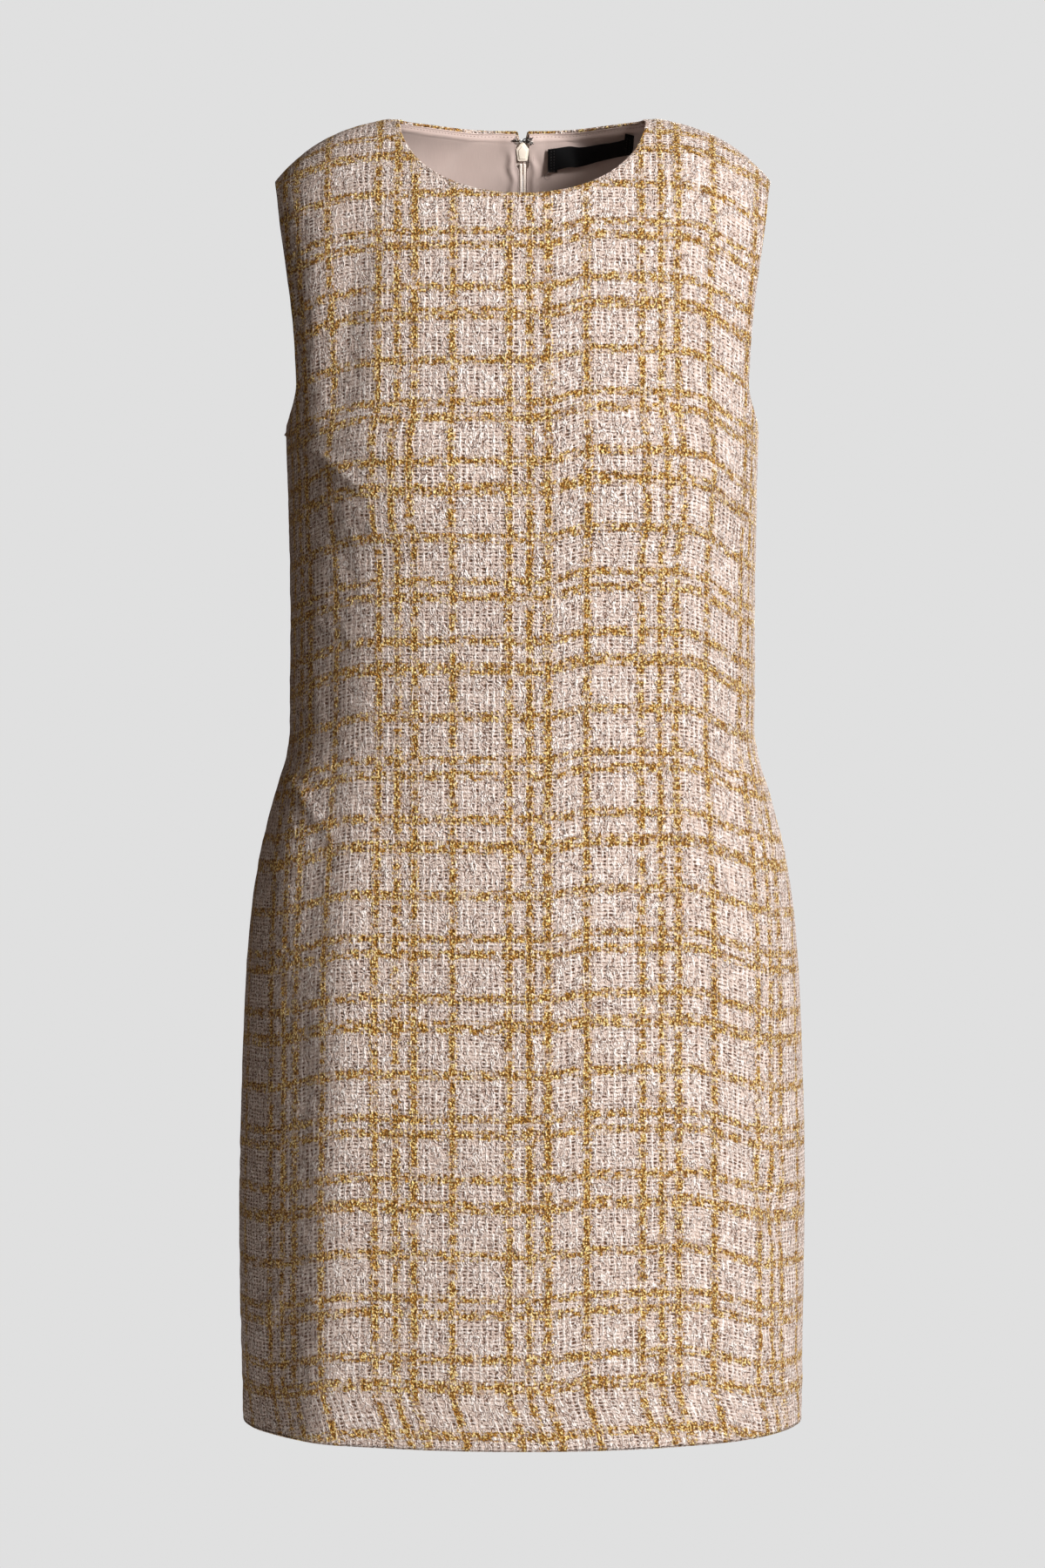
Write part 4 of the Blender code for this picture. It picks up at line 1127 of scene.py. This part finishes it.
SLIDER = slider_matrix()
near, far = SHIELD_INSET
shield = smooth_outline(both_sides([(-0.0009, 0.0078), (-0.0044, 0.0032), (-0.0045, 0.0016),
                                    (-0.0035, -0.0054), (-0.0029, -0.0058)]), 1, 0.12)
shield_mesh = rounded_plate([shield], far - near, 0.0005,
                            SLIDER @ Matrix.Translation((0, -(near + far) / 2, 0)) @ ACROSS_FACE)
boss_mesh = rounded_plate([shield * [0.66, 0.72]], 0.0010, 0.00040,
                          SLIDER @ Matrix.Translation((0, -far, 0)) @ ACROSS_FACE)
nose_turns = np.linspace(-math.pi / 2, math.pi / 2, 13)
lug_root = -(near + far) / 2
lug_outline = np.concatenate([
    [(lug_root, LUG_Z - LUG_HALF_HEIGHT)],
    np.stack([HINGE_OUT + LUG_HALF_HEIGHT * np.cos(nose_turns),
              LUG_Z + LUG_HALF_HEIGHT * np.sin(nose_turns)], axis=-1),
    [(lug_root, LUG_Z + LUG_HALF_HEIGHT)]])
lug_mesh = rounded_plate([lug_outline, circle((HINGE_OUT, LUG_Z), 0.00095, 16)], 0.0008, 0.00018,
                         SLIDER @ ACROSS_EDGE)
plates_object("slider", [shield_mesh, boss_mesh, lug_mesh], ENAMEL, "zip_enamel", "zip_slider")

# distance below the hinge, half width
PULL_OUTLINE = ((-0.0005, 0.0020), (0.0040, 0.0020), (0.0065, 0.0014), (0.0110, 0.0019),
                (0.0165, 0.0029), (0.0195, 0.0027), (0.0212, 0.0014))
pull_outline = smooth_outline(both_sides([(half, -distance) for distance, half in PULL_OUTLINE]))
pull_window = both_sides([(0.0010, -0.0005), (0.0010, -0.0036)])
pull_place = SLIDER @ Matrix.Translation((0, HINGE_OUT, LUG_Z)) @ ACROSS_FACE
pull_mesh = rounded_plate([pull_outline, pull_window], 0.0010, 0.00022, pull_place)
drop = smooth_outline([(0.0, -0.0095), (-0.0014, -0.0130), (-0.0019, -0.0170), (-0.0010, -0.0196),
                       (0.0010, -0.0196), (0.0019, -0.0170), (0.0014, -0.0130)])
drop_mesh = rounded_plate([drop], 0.0014, 0.00030, pull_place)
plates_object("pull", [pull_mesh, drop_mesh], ENAMEL, "zip_enamel", "zip_pull", body="zip_pull")


def tape_material():
    g = Graph("zip_tape_weave", Specular_IOR_Level=0.25)
    u, v = g.cloth()
    slope = (g.math("PINGPONG", u, 1.2) + v).cos() * 0.5 + 0.5
    thread = g.noise(u, v, 0.3, 0.5, 2.0, 1.0)
    g.set("Base Color", g.colour(slope * 0.5 + thread * 0.5, (0.50, 0.41, 0.37), (0.66, 0.56, 0.50)))
    g.set("Roughness", 0.70 + thread * 0.12)
    g.bump(slope * 0.5 + thread * 0.5, 0.00008, 0.7)
    return g.material


def zip_tape(hand, word, material):
    x, height = np.meshgrid(np.linspace(TAPE_INNER_X, TAPE_HALF_WIDTH, 9),
                            np.linspace(ZIP_FOOT, TAPE_TOP, 300))
    points = surface(angle_at(x, height, BACK), height, BACK, hand)
    normals = grid_normals(points, BACK)
    points = points - normals * TAPE_INSET
    flats = np.stack([hand * x, height], axis=-1)
    sheet = Sheet(points, flats)
    turned = [("first", 0.0008, 1), ("last", 0.0008, 1)]
    finish_edges(sheet, points, flats, normals, 0.00014, turned)
    tape = declare(sheet.object("tape_" + word, (0, 1, 0), material), "zip_tape", "zip_tape_" + word)


TAPE_WEAVE = tape_material()
zip_tape(LEFT, "left", TAPE_WEAVE)
zip_tape(RIGHT, "right", TAPE_WEAVE)


def fastener_threads():
    """Two bursts of thread that sew the hook and the eye down, some dark and some silvery."""
    place, out, up = (np.array(part) for part in centre_back_frame(FASTENER_HEIGHT))
    middle = place - out * FASTENER_INSET
    random = np.random.default_rng(5)
    dark, silver = Joined(), Joined()
    for centre_x, low, reach, count in ((0.0050, -0.0008, 0.0037, 34), (-0.0036, -0.0004, 0.0031, 26)):
        for number in range(count):
            turn = 2 * math.pi * (number + random.uniform(-0.4, 0.4)) * 0.381966
            start, end = random.uniform(0.0, 0.0010), reach * random.uniform(0.55, 1.0)
            lift = random.uniform(0.0004, 0.0011)
            line = []
            for share in np.linspace(0, 1, 6):
                run, bend = mix(start, end, share), math.sin(share * 3.0 + number) * 0.0002
                line.append(middle + [centre_x + math.cos(turn) * run + bend, 0, 0]
                            + up * (low + math.sin(turn) * run) - out * (lift * (1 - share**2) - 0.0003))
            (silver if number % 5 < 2 else dark).tube(line, 0.00016, 5)
    dark.object("fastener_thread_dark", DARK_THREAD, "fastener_metal")
    silver.object("fastener_thread_silver", SILVER_THREAD, "fastener_metal")


fastener_threads()


# ---- label, left bare
def label_material():
    g = Graph("label_ribbon", Roughness=0.5, Specular_IOR_Level=0.12)
    u, v = g.cloth()
    rib = (v * 7.0).cos() * 0.5 + 0.5
    thread = g.noise(u, v, 0.4, 0.3, 2.0, 1.0)
    tone = rib * 0.6 + thread * 0.4
    g.set("Base Color", g.colour(tone, (0.0010, 0.0010, 0.0012), (0.0026, 0.0026, 0.0030)))
    g.set("Roughness", 0.50 + thread * 0.14)
    g.bump(rib * 0.5 + thread * 0.5, 0.00005, 0.6)
    return g.material


def neck_label():
    """Ribbon bowed off the lining, its two ends folded under and stitched down."""
    xs = np.linspace(LABEL[0, 0], LABEL[-1, 0], 61)
    shares = np.linspace(0, 1, 13)
    stations = read_table(LABEL[::-1], xs)
    points = np.empty((len(shares), len(xs), 3))
    normals = np.empty_like(points)
    along, across = math.cos(LABEL_TILT), math.sin(LABEL_TILT)
    for column, (x, (_, height, stand_off, depth)) in enumerate(zip(xs, stations)):
        place = surface_at(float(x), float(height), BACK)
        outward = surface_normal(float(x), float(height), BACK)
        lean = (surface_at(float(x), float(height) - LABEL_DEPTH, BACK) - place).normalized()
        drop = lean * along - outward * across
        top = place - outward * (LABEL_INSET + stand_off)
        facing = np.array((-outward * along - lean * across).normalized())
        for row, share in enumerate(shares):
            sway = 0.00035 * math.sin(x * 260 + share * 2.0)
            points[row, column] = np.array(top + drop * depth * (1 - share)) + facing * sway
            normals[row, column] = facing
    flats = np.stack(np.meshgrid(xs, shares * LABEL_DEPTH), axis=-1)
    sheet = Sheet(points, flats)
    turned = [("first", 0.0065, 3), ("last", 0.0065, 3)]
    finish_edges(sheet, points, flats, normals, 0.00035, turned)
    ribbon = sheet.object("label_ribbon", (0, -1, 0), label_material())
    declare(ribbon, "label_satin", "neck_label")
    sewing = Joined()
    whole = np.concatenate([points, normals], axis=-1)
    for column in (2, 4, -3, -5):
        sewing.stitches(whole[:, column], 0.0017, 0.0011, 0.00035, 0.0002)
    corner, off = whole[0, 0, :3], whole[0, 0, 3:]
    loose = [corner + off * lift + [x, 0, z] for x, z, lift in (
        (0.0010, 0.0012, 0.0), (-0.0006, -0.0004, 0.0006), (-0.0024, -0.0016, 0.0009),
        (-0.0030, -0.0036, 0.0007), (-0.0014, -0.0052, 0.0004), (0.0004, -0.0050, 0.0003),
        (0.0008, -0.0034, 0.0004))]
    sewing.tube(resample(np.array(loose), 0.0006), 0.00014, 5)
    sewing.object("label_sewing", DARK_THREAD, "label_satin")


neck_label()

for node in ("hook", "eye"):
    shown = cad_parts[node]
    shown.data.materials.clear()
    shown.data.materials.append(simple_material(node + "_lacquer", (0.05, 0.045, 0.04), 0.3, 0.8))

# ---- stage, lights, camera
CAMERA_HEIGHT = -0.4655
CAMERA_DISTANCE = 2.4
LENS_MM = 78.7
BACKGROUND = 0.745  # linear value of the plain pale grey
FILL_COLOUR = (1.0, 0.66, 0.41)
FILL_STRENGTH = 0.070
FLOOR_HEIGHT = -1.32
FLOOR_RADIUS = 1.05


def add_light(name, place, target, size, power, colour=(1, 1, 1)):
    light = bpy.data.lights.new(name, "AREA")
    light.shape = "RECTANGLE"
    light.size, light.size_y = size
    light.energy = power
    light.color = colour
    lamp = link(name, light)
    lamp.location = place
    lamp.rotation_euler = (Vector(target) - Vector(place)).to_track_quat("-Z", "Y").to_euler()


def build_world():
    """Plain grey to the camera, and a faint warm fill on the dress."""
    world = bpy.data.worlds.new("studio")
    bpy.context.scene.world = world
    world.use_nodes = True
    tree = world.node_tree
    tree.nodes.clear()
    path, choose = (tree.nodes.new("ShaderNode" + kind) for kind in ("LightPath", "MixShader"))
    out = tree.nodes.new("ShaderNodeOutputWorld")
    tree.links.new(path.outputs["Is Camera Ray"], choose.inputs[0])
    for socket, colour, strength in ((1, FILL_COLOUR, FILL_STRENGTH), (2, (BACKGROUND,) * 3, 1.0)):
        shade = tree.nodes.new("ShaderNodeBackground")
        shade.inputs["Color"].default_value = (*colour, 1)
        shade.inputs["Strength"].default_value = strength
        tree.links.new(shade.outputs[0], choose.inputs[socket])
    tree.links.new(choose.outputs[0], out.inputs["Surface"])


def build_floor():
    bpy.ops.mesh.primitive_circle_add(vertices=96, radius=FLOOR_RADIUS, fill_type="NGON",
                                      location=(0, 0, FLOOR_HEIGHT))
    floor = bpy.context.object
    floor.name = "floor"
    g = Graph("pale_floor", Roughness=0.9)
    x, y, _ = g.place()
    speck = g.noise(x, y, 40.0, 40.0, 2.0, 2.0)
    g.set("Base Color", g.colour(speck, (0.74, 0.74, 0.74), (0.77, 0.77, 0.77)))
    floor.data.materials.append(g.material)


build_world()
build_floor()
add_light("key", (2.12, -2.40, 0.70), (0, 0, -0.42), (0.7, 1.0), 214)
add_light("fill", (0.3, -3.0, 0.3), (0, 0, -0.45), (1.4, 1.8), 10, (1.0, 0.97, 0.95))
add_light("back_key", (0.5, 2.9, 0.4), (0, 0, -0.45), (1.3, 1.9), 110)
add_light("top", (0.1, -0.2, 1.7), (0, 0, -0.1), (1.2, 1.0), 5)

camera_data = bpy.data.cameras.new("camera")
camera_data.lens = LENS_MM
camera_data.sensor_width = 36
camera = link("camera", camera_data)
camera.location = (0.0, -CAMERA_DISTANCE, CAMERA_HEIGHT)
camera.rotation_euler = (math.pi / 2, 0, 0)
bpy.context.scene.camera = camera
bpy.context.scene.view_settings.view_transform = "Standard"
